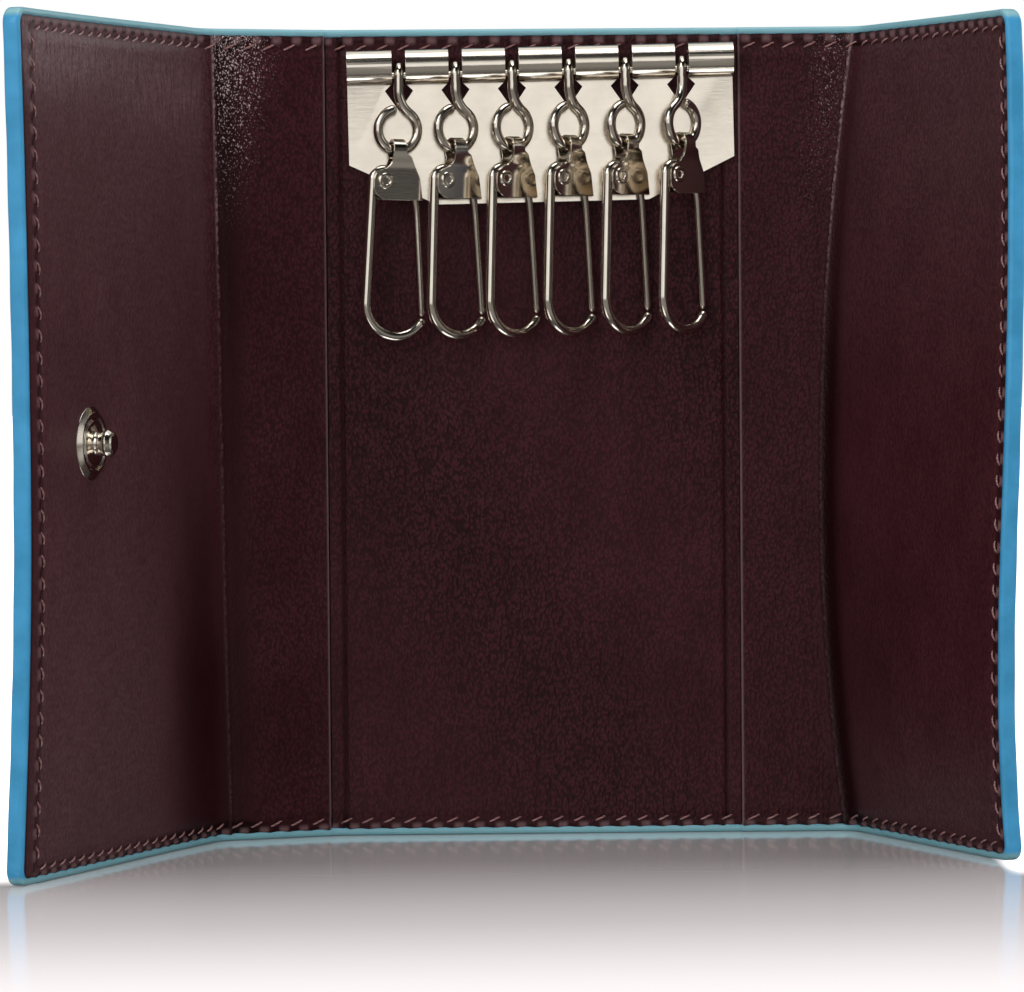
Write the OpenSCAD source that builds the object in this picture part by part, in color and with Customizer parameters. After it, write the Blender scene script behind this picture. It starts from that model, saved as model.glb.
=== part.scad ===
// Tri-fold leather key case with a row of six spring hooks, standing open on its lower edge.
// Millimetres. X runs along the back panel, Y goes away from the viewer, Z is up.
// The origin is the middle of the back panel's lower edge, and the flaps fold towards -Y.

/* [Leather case] */
// Height of the case from lower edge to upper edge
case_h = 108; // [104:1:120]
// Width of the back panel between its two folds
back_w = 55.2; // [54.4:0.2:60]
// Width of the left spine between its folds
left_spine_w = 17.2; // [16.4:0.2:20]
// Width of the right spine between its folds
right_spine_w = 12.8; // [12:0.2:13.6]
// Length of the left flap from its fold to its free edge
left_flap_w = 57.4; // [50:0.2:62]
// Length of the right flap from its fold to its free edge
right_flap_w = 46.4; // [40:0.2:50]
// Thickness of a finished panel
panel_t = 2.2; // [2:0.1:3]
// Thickness of the lining leather
lining_t = 0.8; // [0.5:0.1:0.9]
// Thickness of the outer leather
outer_t = 0.9; // [0.6:0.1:1]
// How far the back lining lies below the lips of the flap pockets
lip_step = 0.4; // [0.2:0.1:0.6]
// Width of the painted edge
edge_w = 0.8; // [0.5:0.1:1.2]
// Rounding of the painted edge
edge_r = 0.5; // [0.2:0.05:0.5]
// Corner radius of the flap linings
corner_r = 1.6; // [1:0.1:4]
// Space left between two panels at a fold, on each side
fold_gap = 0.1; // [0.05:0.05:0.2]

/* [Folds as photographed] */
// Angle of the left spine from the back panel
left_spine_angle = 20; // [0:1:90]
// Angle of the left flap from the left spine
left_flap_angle = 49; // [0:1:80]
// Angle of the right spine from the back panel
right_spine_angle = 1; // [0:1:90]
// Angle of the right flap from the right spine
right_flap_angle = 67; // [0:1:90]

/* [Key plate] */
// Width of the plate along the barrel
plate_w = 51.6; // [47:0.2:52]
// Thickness of the plate's sheet
plate_t = 0.6; // [0.4:0.05:0.8]
// Outer radius of the rolled barrel
barrel_r = 2.3; // [2.2:0.05:2.6]
// How far the sheet is rolled round, in degrees
barrel_wrap = 305; // [270:5:310]
// Height of the barrel's axis above the case's lower edge
barrel_z = 103.2; // [90:0.2:103.4]
// Shift of the plate from the middle of the back panel
plate_x = 1.1; // [0:0.1:1.2]
// Lean of the plate in its own plane, in degrees
plate_tilt = 1; // [0:0.5:1.5]
// Drop from the barrel's axis to the corner where the plate's side ends
plate_side_drop = 12.9; // [10:0.1:15]
// Drop from the barrel's axis to the plate's lower edge
plate_drop = 18.4; // [16:0.1:22]
// Width of the plate's lower edge
plate_foot_w = 28.4; // [20:0.2:44]
// Width of a hook's slot in the barrel
slot_w = 1.8; // [1.6:0.05:2.2]
// Width of the notch under a slot
notch_w = 3.7; // [2.5:0.1:4.5]
// Drop from the barrel's axis to the notch's widest place
notch_drop = 3.1; // [2.6:0.1:3.6]
// Drop from the barrel's axis to the notch's point
notch_point_drop = 5.8; // [4.5:0.1:7]
// Radius of the pin
pin_r = 0.45; // [0.35:0.05:0.5]
// Distance of the pin in front of the barrel's axis
pin_out = 0.4; // [0.3:0.05:0.5]
// Length of the plugs that hold the pin in the barrel's ends
plug_l = 1.4; // [0.8:0.1:2]
// Width of a prong that fastens the plate
prong_w = 3; // [2:0.1:4]

/* [Hooks] */
// Distance between two hooks
hook_pitch = 7.55; // [7.5:0.05:7.7]
// Radius of the wire of the hooks and their swivel eyes
wire_r = 0.65; // [0.5:0.01:0.66]
// Radius of the gate's wire
gate_r = 0.5; // [0.35:0.01:0.55]
// Radius of the ring under the swivel eye, to the middle of its wire
ring_r = 2.75; // [2.6:0.05:2.85]
// Drop from the pin to the middle of the ring
ring_drop = 7.25; // [6.9:0.05:8.3]
// Where the neck runs into the ring, in degrees above its side
ring_turn = 55; // [50:1:60]
// Where the ring's end stops short of the neck, in degrees
ring_end_angle = 108; // [106:1:120]
// Thickness of the clip body's strap
strap_t = 0.35; // [0.25:0.05:0.4]
// Inner radius of the strap's loop round the ring
strap_loop_r = 1.2; // [1.1:0.05:1.25]
// Width of the strap where it passes through the ring
neck_w = 1.9; // [1.5:0.1:2.1]
// Width of the clip body on the hook's side of the ring's middle
clip_left_w = 3.5; // [3.4:0.05:3.55]
// Width of the clip body on the gate's side of the ring's middle
clip_right_w = 3.3; // [3.1:0.05:3.4]
// Radius of the clip body's lower corner under the rivet
clip_corner_r = 1.8; // [1:0.1:2]
// Drop from the ring's wire to the clip body's lower edge
clip_drop = 6.6; // [6.3:0.1:7.5]
// Drop from the ring's wire to the rivet
rivet_drop = 4.1; // [3.9:0.1:4.4]
// Radius of the tubular rivet
rivet_r = 0.8; // [0.6:0.05:0.85]
// Radius of the rivet's heads
rivet_head_r = 1.1; // [1:0.05:1.3]
// Distance from the hook's middle to its long leg, at the rivet
leg_x = 3.4; // [3.2:0.05:3.45]
// Radius of the hook's bow, to the middle of its wire
bow_r = 4.25; // [3.8:0.05:4.3]
// Shift of the bow towards the gate
bow_x = 0.25; // [0:0.05:0.35]
// Drop from the ring's wire to the lowest point of the bow's middle line
bow_drop = 24.7; // [20:0.1:30]
// Where the bow ends under the gate, in degrees
bow_end_angle = 325; // [315:1:330]

/* [Snap fastener] */
// Distance from the left fold to the stud
stud_from_fold = 37.3; // [30:0.1:40]
// Height of the snap above the lower edge
snap_z = 54; // [40:1:60]
// Radius of the stud's flange
stud_flange_r = 4.75; // [4:0.05:5.5]
// Height of the stud's flange
stud_flange_h = 0.9; // [0.6:0.05:1.2]
// Radius of the stud's head
stud_head_r = 1.8; // [1.5:0.05:2]
// Height of the whole stud above the lining
stud_h = 3.3; // [3:0.1:3.6]
// Radius of the socket on the right flap
socket_r = 4.9; // [4.4:0.05:5.5]
// Height of the socket
socket_h = 2.5; // [2.3:0.05:2.8]

/* [Hidden] */
$fn = 48;
// Running gap between a pin and what turns on it
running_gap = 0.05;
// Gap round pieces that are only seated
seat_gap = 0.03;
// Overrun of cuts past the faces they open
cut = 1;

// Panels: y is zero in the middle of a panel's thickness
face_y = -panel_t / 2;
back_y = panel_t / 2;
board_t = panel_t - lining_t - outer_t;
half_back = back_w / 2;
leaf_h = case_h - 2 * edge_w;
back_lining_y = face_y + lip_step;

// Key plate: places are counted from the barrel's axis
barrel_in_r = barrel_r - plate_t;
barrel_y = back_lining_y - barrel_r;
prong_x = plate_foot_w / 2 - prong_w;
prong_zs = [-notch_point_drop - prong_w, -plate_side_drop - prong_w / 2];
prong_l = lining_t - lip_step + board_t;
prong_gap = 0.1;

// The pin rests on the lower wall of the barrel
pin_ride_r = barrel_in_r - pin_r - seat_gap;
pin_drop = sqrt(pow(pin_ride_r, 2) - pow(pin_out, 2));

// Hooks: places are counted from the middle of the ring's lowest wire
eye_r = pin_r + running_gap + wire_r;
bend_r = ring_r * cos(ring_turn) / (1 - cos(ring_turn));
bend_drop = ring_drop - (ring_r + bend_r) * sin(ring_turn);
clip_origin_drop = ring_drop + ring_r;
hook_yaws = [18, 30, 36, 39, 41, 44];
hook_rolls = [1.5, 0, 0, 0, 0, 0];
hook_bends = [1, 1, 1, 1, 1, -1];
hook_middle = (len(hook_yaws) + 1) / 2;
// The eye of the pin: from the neck in front, over the pin, to below it
eye_end_angle = -75;
plate_gap = 0.1;
half_gap = wire_r + plate_gap;
clip_out_y = half_gap + strap_t;
taper_drop = 2 * strap_loop_r;
rivet_x = rivet_r + running_gap + wire_r - leg_x;
// Clip body: a bulge round the rivet, a hollow above it, and a shoulder and a hip on the gate's side
clip_w = clip_left_w + clip_right_w;
bulge_r = clip_left_w + rivet_x;
hollow_share = 1;
hollow_r = bulge_r * hollow_share;
hollow_x = -neck_w / 2 - hollow_r;
hollow_z = -rivet_drop + sqrt(pow(hollow_r + bulge_r, 2) - pow(hollow_x - rivet_x, 2));
shoulder_share = 0.45;
hip_share = 0.88;
hip_drop_share = 0.55;
rivet_eye_r = rivet_r + running_gap + wire_r;
rivet_head_t = 0.25;
rivet_hole_share = 0.55;
rivet_hole_r = rivet_r * rivet_hole_share;
bow_z = bow_r - bow_drop;
leg_run = [bow_x - rivet_x, bow_z + rivet_drop];
leg_normal = atan2(leg_run[1], leg_run[0]) - acos((rivet_eye_r - bow_r) / norm(leg_run));
leg_top = [rivet_x, -rivet_drop] + rivet_eye_r * [cos(leg_normal), sin(leg_normal)];
leg_foot = [bow_x, bow_z] + bow_r * [cos(leg_normal), sin(leg_normal)];
rivet_eye_end = -50;
bow_tip = [bow_x, bow_z] + bow_r * [cos(bow_end_angle), sin(bow_end_angle)];
bead = 0.05;
// Swelling of a wire where a bend begins
seam = 0.02;
gate_pivot = [clip_right_w - gate_r - wire_r, -rivet_drop - gate_r];
gate_kink = [clip_right_w - gate_r, -clip_drop - 2 * gate_r];
gate_tip = bow_tip + [bead, wire_r + gate_r + 3 * bead];

// Snap: the flaps lie one over the other when closed, and the left one leans out a little
snap_gap = 0.3;
snap_lift = stud_flange_h + socket_h + snap_gap + panel_t + right_spine_w - left_spine_w;
close_lean = asin(snap_lift / stud_from_fold);
head_l = stud_h - stud_flange_h;
socket_from_fold = back_w - stud_from_fold * cos(close_lean)
    - (stud_h - head_l / 2) * sin(close_lean);
head_neck_share = 0.75;
head_top_share = 0.6;
head_taper_share = 0.4;
dish_share = 0.62;
rim_share = 0.3;
head_neck_r = stud_head_r * head_neck_share;
head_top_r = stud_head_r * head_top_share;
taper_l = head_l * head_taper_share;
dish_r = stud_flange_r * dish_share;
rim_r = stud_flange_h * rim_share;
tube_r = 1;
tube_wall = 0.2;
cap_r = 3.4;
cap_t = 0.25;
stud_gap = 0.3;
bore_r = stud_head_r + stud_gap;
spring_r = 0.22;
spring_turn = 330;
socket_floor = 0.25;
socket_round_share = 0.25;
socket_round = socket_h * socket_round_share;

leather_colour = [0.26, 0.15, 0.17];
lining_colour = [0.3, 0.19, 0.21];
board_colour = [0.75, 0.7, 0.6];
edge_colour = [0.25, 0.6, 0.8];
metal_colour = [0.85, 0.82, 0.76];

// Places of the panels. Each leaf is drawn from its fold at x = 0 towards +x, or -x on the left
module left_spine_place() {
    translate([-half_back, face_y, 0]) rotate([0, 0, left_spine_angle]) translate([0, -face_y, 0]) children();
}

module left_flap_place() {
    left_spine_place()
        translate([-left_spine_w, face_y, 0]) rotate([0, 0, left_flap_angle])
            translate([0, -face_y, 0]) children();
}

module right_spine_place() {
    translate([half_back, face_y, 0]) rotate([0, 0, -right_spine_angle]) translate([0, -face_y, 0]) children();
}

module right_flap_place() {
    right_spine_place()
        translate([right_spine_w, face_y, 0]) rotate([0, 0, -right_flap_angle])
            translate([0, -face_y, 0]) children();
}

// A plain leaf from x0 to x1 between the depths y0 and y1, inside the painted edges
module leaf(x0, x1, y0, y1) {
    translate([x0, y0, edge_w]) cube([x1 - x0, y1 - y0, leaf_h]);
}

// The outline of a flap with its two free corners rounded, standing in the XZ plane
module flap_outline(w) {
    reach = w - edge_w;
    translate([fold_gap, edge_w]) square([reach - corner_r - fold_gap, leaf_h]);
    translate([fold_gap, edge_w + corner_r]) square([reach - fold_gap, leaf_h - 2 * corner_r]);
    for (z = [edge_w + corner_r, case_h - edge_w - corner_r])
        translate([reach - corner_r, z]) circle(r = corner_r);
}

module flap_leaf(w, y0, y1) {
    translate([0, y1, 0]) rotate([90, 0, 0]) linear_extrude(y1 - y0) flap_outline(w);
}

// Section of a painted edge: x is outwards from the leaf, y is across its thickness
module edge_section(t) {
    intersection() {
        translate([0, -t / 2]) square([edge_w, t]);
        union() {
            translate([0, -t / 2]) square([edge_w - edge_r, t]);
            translate([0, edge_r - t / 2]) square([edge_w, t - 2 * edge_r]);
            for (y = [edge_r - t / 2, t / 2 - edge_r])
                translate([edge_w - edge_r, y]) circle(r = edge_r);
        }
    }
}

// Painted edge along the foot or the head of a leaf, from x0 to x1
module edge_strip(x0, x1, t, head) {
    z = head ? case_h - edge_w : edge_w;
    translate([x0, 0, z]) rotate([0, 90, 0]) mirror([head ? 1 : 0, 0, 0])
        linear_extrude(x1 - x0) edge_section(t);
}

module edge_pair(x0, x1, y, t) {
    for (head = [false, true])
        translate([0, y, 0]) edge_strip(x0, x1, t, head);
}

// Painted edge along the foot, free side and head of a flap
module flap_edge(w) {
    run = w - edge_w - corner_r;
    for (head = [false, true]) edge_strip(fold_gap, run, panel_t, head);
    translate([w - edge_w, 0, edge_w + corner_r])
        linear_extrude(leaf_h - 2 * corner_r) edge_section(panel_t);
    translate([run, 0, edge_w + corner_r]) rotate([90, 0, 0])
        rotate([0, 0, -90]) rotate_extrude(angle = 90) translate([corner_r, 0]) edge_section(panel_t);
    translate([run, 0, case_h - edge_w - corner_r]) rotate([90, 0, 0])
        rotate_extrude(angle = 90) translate([corner_r, 0]) edge_section(panel_t);
}

// A round hole through a leaf in the flap's own place
module leaf_hole(x, r) {
    translate([x, -panel_t, snap_z]) rotate([-90, 0, 0]) cylinder(r = r, h = 2 * panel_t);
}

// Back panel
module back_outer() {
    color(leather_colour) leaf(fold_gap - half_back, half_back - fold_gap, back_y - outer_t, back_y);
}

module back_board() {
    color(board_colour) difference() {
        leaf(fold_gap - half_back, half_back - fold_gap, back_y - outer_t - board_t, back_y - outer_t);
        prongs(prong_gap, cut);
    }
}

module back_lining() {
    color(lining_colour) difference() {
        leaf(fold_gap - half_back, half_back - fold_gap, back_lining_y, back_y - outer_t - board_t);
        prongs(prong_gap, cut);
    }
}

module back_edge() {
    t = panel_t - lip_step;
    color(edge_colour) edge_pair(fold_gap - half_back, half_back - fold_gap, lip_step / 2, t);
}

// Left side
module left_spine_outer() {
    color(leather_colour) left_spine_place()
        leaf(fold_gap - left_spine_w, -fold_gap, face_y + lining_t, back_y);
}

module left_spine_lining() {
    color(lining_colour) left_spine_place()
        leaf(fold_gap - left_spine_w, -fold_gap, face_y, face_y + lining_t);
}

module left_spine_edge() {
    color(edge_colour) left_spine_place() edge_pair(fold_gap - left_spine_w, -fold_gap, 0, panel_t);
}

module left_flap_outer() {
    color(leather_colour) left_flap_place() mirror([1, 0, 0])
        flap_leaf(left_flap_w, back_y - outer_t, back_y);
}

module left_flap_board() {
    color(board_colour) left_flap_place() mirror([1, 0, 0]) difference() {
        flap_leaf(left_flap_w, face_y + lining_t, back_y - outer_t);
        leaf_hole(stud_from_fold, cap_r + seat_gap);
    }
}

module left_flap_lining() {
    color(lining_colour) left_flap_place() mirror([1, 0, 0]) difference() {
        flap_leaf(left_flap_w, face_y, face_y + lining_t);
        leaf_hole(stud_from_fold, tube_r + seat_gap);
    }
}

module left_flap_edge() {
    color(edge_colour) left_flap_place() mirror([1, 0, 0]) flap_edge(left_flap_w);
}

// Right side
module right_spine_outer() {
    color(leather_colour) right_spine_place()
        leaf(fold_gap, right_spine_w - fold_gap, face_y + lining_t, back_y);
}

module right_spine_lining() {
    color(lining_colour) right_spine_place()
        leaf(fold_gap, right_spine_w - fold_gap, face_y, face_y + lining_t);
}

module right_spine_edge() {
    color(edge_colour) right_spine_place() edge_pair(fold_gap, right_spine_w - fold_gap, 0, panel_t);
}

module right_flap_outer() {
    color(leather_colour) right_flap_place() difference() {
        flap_leaf(right_flap_w, back_y - outer_t, back_y);
        leaf_hole(socket_from_fold, tube_r + seat_gap);
    }
}

module right_flap_board() {
    color(board_colour) right_flap_place() difference() {
        flap_leaf(right_flap_w, face_y + lining_t, back_y - outer_t);
        leaf_hole(socket_from_fold, cap_r + seat_gap);
    }
}

module right_flap_lining() {
    color(lining_colour) right_flap_place() flap_leaf(right_flap_w, face_y, face_y + lining_t);
}

module right_flap_edge() {
    color(edge_colour) right_flap_place() flap_edge(right_flap_w);
}

// Snap fastener, each half turned about its own axis, which stands square to the leather
module on_left_flap() {
    left_flap_place() translate([-stud_from_fold, face_y, snap_z]) rotate([90, 0, 0]) children();
}

module on_right_flap() {
    right_flap_place() translate([socket_from_fold, back_y, snap_z]) rotate([-90, 0, 0]) children();
}

// Stud: a dished flange with a double rim, and a button head on a waisted post
module snap_stud() {
    color(metal_colour) on_left_flap() difference() {
        union() {
            cylinder(r = stud_flange_r, h = rim_r);
            for (r = [stud_flange_r - rim_r, dish_r])
                translate([0, 0, rim_r]) rotate_extrude() translate([r, 0]) circle(r = rim_r);
            cylinder(r1 = dish_r - rim_r, r2 = head_neck_r, h = stud_flange_h);
            cylinder(r = head_neck_r, h = stud_h - stud_head_r / 2);
            translate([0, 0, stud_h - 2 * taper_l])
                cylinder(r1 = head_neck_r, r2 = stud_head_r, h = taper_l);
            translate([0, 0, stud_h - taper_l])
                cylinder(r1 = stud_head_r, r2 = head_top_r, h = taper_l);
        }
        translate([0, 0, -cut]) cylinder(r = tube_r + seat_gap, h = cut + stud_flange_h);
    }
}

// Rivet that holds a snap from inside the panel: a flat cap and a tube up into the snap
module snap_rivet(depth) {
    color(metal_colour) {
        translate([0, 0, -depth - cap_t]) cylinder(r = cap_r, h = cap_t);
        translate([0, 0, -depth - cap_t / 2]) difference() {
            cylinder(r = tube_r, h = depth + cap_t / 2 + socket_floor - seat_gap);
            translate([0, 0, cap_t]) cylinder(r = tube_r - tube_wall, h = depth + cut);
        }
    }
}

module stud_rivet() {
    on_left_flap() snap_rivet(lining_t);
}

// Socket: a flanged ring with a rounded lip, hollow for the stud's head and its spring
module snap_socket() {
    color(metal_colour) on_right_flap() difference() {
        union() {
            cylinder(r = socket_r, h = socket_h - socket_round);
            cylinder(r = socket_r - socket_round, h = socket_h);
            translate([0, 0, socket_h - socket_round])
                rotate_extrude() translate([socket_r - socket_round, 0]) circle(r = socket_round);
        }
        translate([0, 0, socket_floor]) cylinder(r = bore_r, h = socket_h);
        translate([0, 0, socket_h / 2 - 2 * spring_r])
            cylinder(r = bore_r + 2 * spring_r + seat_gap, h = 4 * spring_r);
        translate([0, 0, -cut]) cylinder(r = tube_r + seat_gap, h = 2 * cut + socket_floor);
    }
}

// Split spring ring in the socket's groove
module socket_spring() {
    color(metal_colour) on_right_flap() translate([0, 0, socket_h / 2])
        rotate_extrude(angle = spring_turn) translate([bore_r + spring_r, 0]) circle(r = spring_r);
}

module socket_rivet() {
    on_right_flap() snap_rivet(outer_t);
}

// Frame of the key plate: the barrel's axis is at the origin and runs along x
module plate_place() {
    translate([plate_x, barrel_y, barrel_z]) rotate([0, -plate_tilt, 0]) children();
}

// x of a slot, counted from the plate's middle
function slot_x(i) = (i - hook_middle) * hook_pitch;

// Prongs on the plate's back, grown by a gap and run past both ends where they make their own slots
module prongs(gap, extra) {
    plate_place()
        for (side = [-1, 1], z = prong_zs)
            translate([side * prong_x - prong_w / 2 - gap, barrel_r - extra, z - gap])
                cube([prong_w + 2 * gap, prong_l + 2 * extra, plate_t + 2 * gap]);
}

module plate_outline() {
    polygon([
        [-plate_w / 2, 0], [-plate_w / 2, -plate_side_drop], [-plate_foot_w / 2, -plate_drop],
        [plate_foot_w / 2, -plate_drop], [plate_w / 2, -plate_side_drop], [plate_w / 2, 0]
    ]);
}

module slot_outline() {
    translate([-slot_w / 2, -notch_drop]) square([slot_w, notch_drop + barrel_r + cut]);
    polygon([
        [-slot_w / 2, notch_w / 2 - slot_w / 2 - notch_drop], [-notch_w / 2, -notch_drop],
        [0, -notch_point_drop], [notch_w / 2, -notch_drop], [slot_w / 2, notch_w / 2 - slot_w / 2 - notch_drop]
    ]);
}

// Key plate: one sheet rolled into a barrel along its head, slotted and notched for the hooks
module key_plate() {
    color(metal_colour) {
        plate_place() difference() {
            union() {
                translate([0, barrel_r, 0]) rotate([90, 0, 0]) linear_extrude(plate_t) plate_outline();
                translate([-plate_w / 2, 0, 0]) rotate([0, 0, 90]) rotate([90, 0, 0])
                    rolled_barrel();
            }
            for (i = [1 : len(hook_yaws)])
                translate([slot_x(i), barrel_r + cut, 0]) rotate([90, 0, 0])
                    linear_extrude(2 * barrel_r + 2 * cut) slot_outline();
        }
        prongs(0, 0);
    }
}

// The barrel's section, swept along the plate: a ring open between its end and the sheet
module rolled_barrel() {
    linear_extrude(plate_w) difference() {
        circle(r = barrel_r);
        circle(r = barrel_in_r);
        polygon([
            [0, 0], 2 * barrel_r * [cos(barrel_wrap), sin(barrel_wrap)],
            2 * barrel_r * [1, sin(barrel_wrap)], [2 * barrel_r, 0]
        ]);
    }
}

// Pin that carries the hooks, with a plug at each end of the barrel
module hook_pin() {
    color(metal_colour) plate_place() {
        translate([-plate_w / 2, -pin_out, -pin_drop]) rotate([0, 90, 0]) cylinder(r = pin_r, h = plate_w);
        for (x = [-plate_w / 2, plate_w / 2 - plug_l])
            translate([x, 0, 0]) rotate([0, 90, 0]) cylinder(r = barrel_in_r - running_gap, h = plug_l);
    }
}

// Wire helpers in the XZ plane
module wire_arc(middle, path_r, r, from, to) {
    translate([middle[0], 0, middle[1]]) rotate([90, 0, 0]) rotate([0, 0, from])
        rotate_extrude(angle = to - from) translate([path_r, 0]) circle(r = r);
}

module wire_rod(from, to, r) {
    run = to - from;
    translate([from[0], 0, from[1]]) rotate([0, atan2(run[0], run[1]), 0]) cylinder(r = r, h = norm(run));
}

module wire_ball(at, r) {
    translate([at[0], 0, at[1]]) sphere(r = r);
}

// Where hook i hangs: the pin's axis in the middle of its slot, turned back upright
module hook_place(i) {
    plate_place() translate([slot_x(i), -pin_out, -pin_drop])
        rotate([0, plate_tilt + hook_rolls[i - 1], 0]) children();
}

// Where the clip of hook i hangs: the middle of the ring's lowest wire, turned with the ring
module clip_place(i) {
    hook_place(i) translate([0, -eye_r, -clip_origin_drop]) rotate([0, 0, hook_yaws[i - 1]]) children();
}

// Swivel eye: one wire that wraps over the pin, runs down as a neck and curls into a ring
module swivel_eye(i) {
    color(metal_colour) {
        hook_place(i) {
            rotate([0, 0, 90]) wire_arc([0, 0], eye_r, wire_r, eye_end_angle, 180);
            translate([0, -eye_r, 0]) {
                wire_rod([0, -bend_drop], [0, 0], wire_r);
                wire_ball([0, 0], wire_r + seam);
                wire_ball([0, -bend_drop], wire_r + seam);
            }
        }
        clip_place(i) mirror([hook_bends[i - 1] > 0 ? 0 : 1, 0, 0]) {
            wire_arc([bend_r, clip_origin_drop - bend_drop], bend_r, wire_r, 180, 180 + ring_turn);
            wire_ball([0, ring_r] + ring_r * [cos(ring_turn), sin(ring_turn)], wire_r + seam);
            wire_arc([0, ring_r], ring_r, wire_r, ring_end_angle - 360, ring_turn);
        }
    }
}

// Side section of the clip body's strap: a loop over the ring's wire that narrows to two plates
module strap_section() {
    difference() {
        union() {
            circle(r = strap_loop_r + strap_t);
            strap_legs(strap_t, 0);
        }
        circle(r = strap_loop_r);
        strap_legs(0, cut);
    }
}

module strap_legs(grow, extra) {
    top = strap_loop_r + grow;
    low = half_gap + grow;
    polygon([
        [-top, 0], [-low, -taper_drop], [-low, -clip_drop - extra],
        [low, -clip_drop - extra], [low, -taper_drop], [top, 0]
    ]);
}

// Front outline of the clip body: a narrow neck that runs through a hollow into the round bulge of the
// rivet on one side and flares from a shoulder to the foot on the gate's side
module clip_outline() {
    top = 2 * strap_loop_r;
    difference() {
        union() {
            polygon([
                [-neck_w / 2, top], [-neck_w / 2, hollow_z], [hollow_x, hollow_z], [rivet_x, -rivet_drop],
                [-clip_left_w, -rivet_drop], [-clip_left_w, clip_corner_r - clip_drop],
                [clip_corner_r - clip_left_w, -clip_drop], [clip_right_w, -clip_drop],
                [clip_right_w * hip_share, -clip_drop * hip_drop_share],
                [clip_right_w * shoulder_share, -strap_t], [neck_w / 2, -strap_t], [neck_w / 2, top]
            ]);
            translate([rivet_x, -rivet_drop]) circle(r = bulge_r);
            translate([clip_corner_r - clip_left_w, clip_corner_r - clip_drop]) circle(r = clip_corner_r);
        }
        translate([hollow_x, hollow_z]) circle(r = hollow_r);
    }
}

module clip_body(i) {
    color(metal_colour) clip_place(i) difference() {
        intersection() {
            translate([-clip_w, 0, 0]) rotate([0, 0, 90]) rotate([90, 0, 0])
                linear_extrude(2 * clip_w) strap_section();
            translate([0, clip_w, 0]) rotate([90, 0, 0]) linear_extrude(2 * clip_w) clip_outline();
        }
        translate([rivet_x, -clip_w, -rivet_drop]) rotate([-90, 0, 0])
            cylinder(r = rivet_r + seat_gap, h = 2 * clip_w);
    }
}

// Tubular rivet through the clip body and the hook's eye
module clip_rivet(i) {
    half = clip_out_y + rivet_head_t;
    color(metal_colour) clip_place(i) translate([rivet_x, 0, -rivet_drop]) rotate([-90, 0, 0]) difference() {
        union() {
            translate([0, 0, -half]) cylinder(r = rivet_r, h = 2 * half);
            for (side = [-1, 1]) translate([0, 0, side * (clip_out_y + rivet_head_t / 2)])
                cylinder(r = rivet_head_r, h = rivet_head_t, center = true);
        }
        translate([0, 0, -clip_w]) cylinder(r = rivet_hole_r, h = 2 * clip_w);
    }
}

// Hook: an eye round the rivet, a long leg, and a bow that ends under the gate
module hook_wire(i) {
    color(metal_colour) clip_place(i) {
        wire_arc([rivet_x, -rivet_drop], rivet_eye_r, wire_r, rivet_eye_end, 360 + leg_normal);
        wire_ball(leg_top, wire_r + seam);
        wire_rod(leg_foot, leg_top, wire_r);
        wire_ball(leg_foot, wire_r + seam);
        wire_arc([bow_x, bow_z], bow_r, wire_r, 360 + leg_normal, bow_end_angle);
        wire_ball(bow_tip, wire_r + bead);
    }
}

// Gate: a thinner wire, kinked where it leaves the clip body, that closes on the bow's end
module gate_wire(i) {
    color(metal_colour) clip_place(i) {
        wire_ball(gate_pivot, gate_r + bead);
        wire_rod(gate_kink, gate_pivot, gate_r);
        wire_ball(gate_kink, gate_r + bead);
        wire_rod(gate_tip, gate_kink, gate_r);
        wire_ball(gate_tip, gate_r + bead);
    }
}

back_outer();
back_board();
back_lining();
back_edge();
left_spine_outer();
left_spine_lining();
left_spine_edge();
left_flap_outer();
left_flap_board();
left_flap_lining();
left_flap_edge();
right_spine_outer();
right_spine_lining();
right_spine_edge();
right_flap_outer();
right_flap_board();
right_flap_lining();
right_flap_edge();
snap_stud();
stud_rivet();
snap_socket();
socket_spring();
socket_rivet();
key_plate();
hook_pin();
swivel_eye(1);  // swivel_eye_1
swivel_eye(2);  // swivel_eye_2
swivel_eye(3);  // swivel_eye_3
swivel_eye(4);  // swivel_eye_4
swivel_eye(5);  // swivel_eye_5
swivel_eye(6);  // swivel_eye_6
clip_body(1);  // clip_body_1
clip_body(2);  // clip_body_2
clip_body(3);  // clip_body_3
clip_body(4);  // clip_body_4
clip_body(5);  // clip_body_5
clip_body(6);  // clip_body_6
clip_rivet(1);  // clip_rivet_1
clip_rivet(2);  // clip_rivet_2
clip_rivet(3);  // clip_rivet_3
clip_rivet(4);  // clip_rivet_4
clip_rivet(5);  // clip_rivet_5
clip_rivet(6);  // clip_rivet_6
hook_wire(1);  // hook_wire_1
hook_wire(2);  // hook_wire_2
hook_wire(3);  // hook_wire_3
hook_wire(4);  // hook_wire_4
hook_wire(5);  // hook_wire_5
hook_wire(6);  // hook_wire_6
gate_wire(1);  // gate_wire_1
gate_wire(2);  // gate_wire_2
gate_wire(3);  // gate_wire_3
gate_wire(4);  // gate_wire_4
gate_wire(5);  // gate_wire_5
gate_wire(6);  // gate_wire_6
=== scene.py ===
import math

import bmesh
import bpy
import numpy as np
from mathutils import Matrix, Vector


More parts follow.
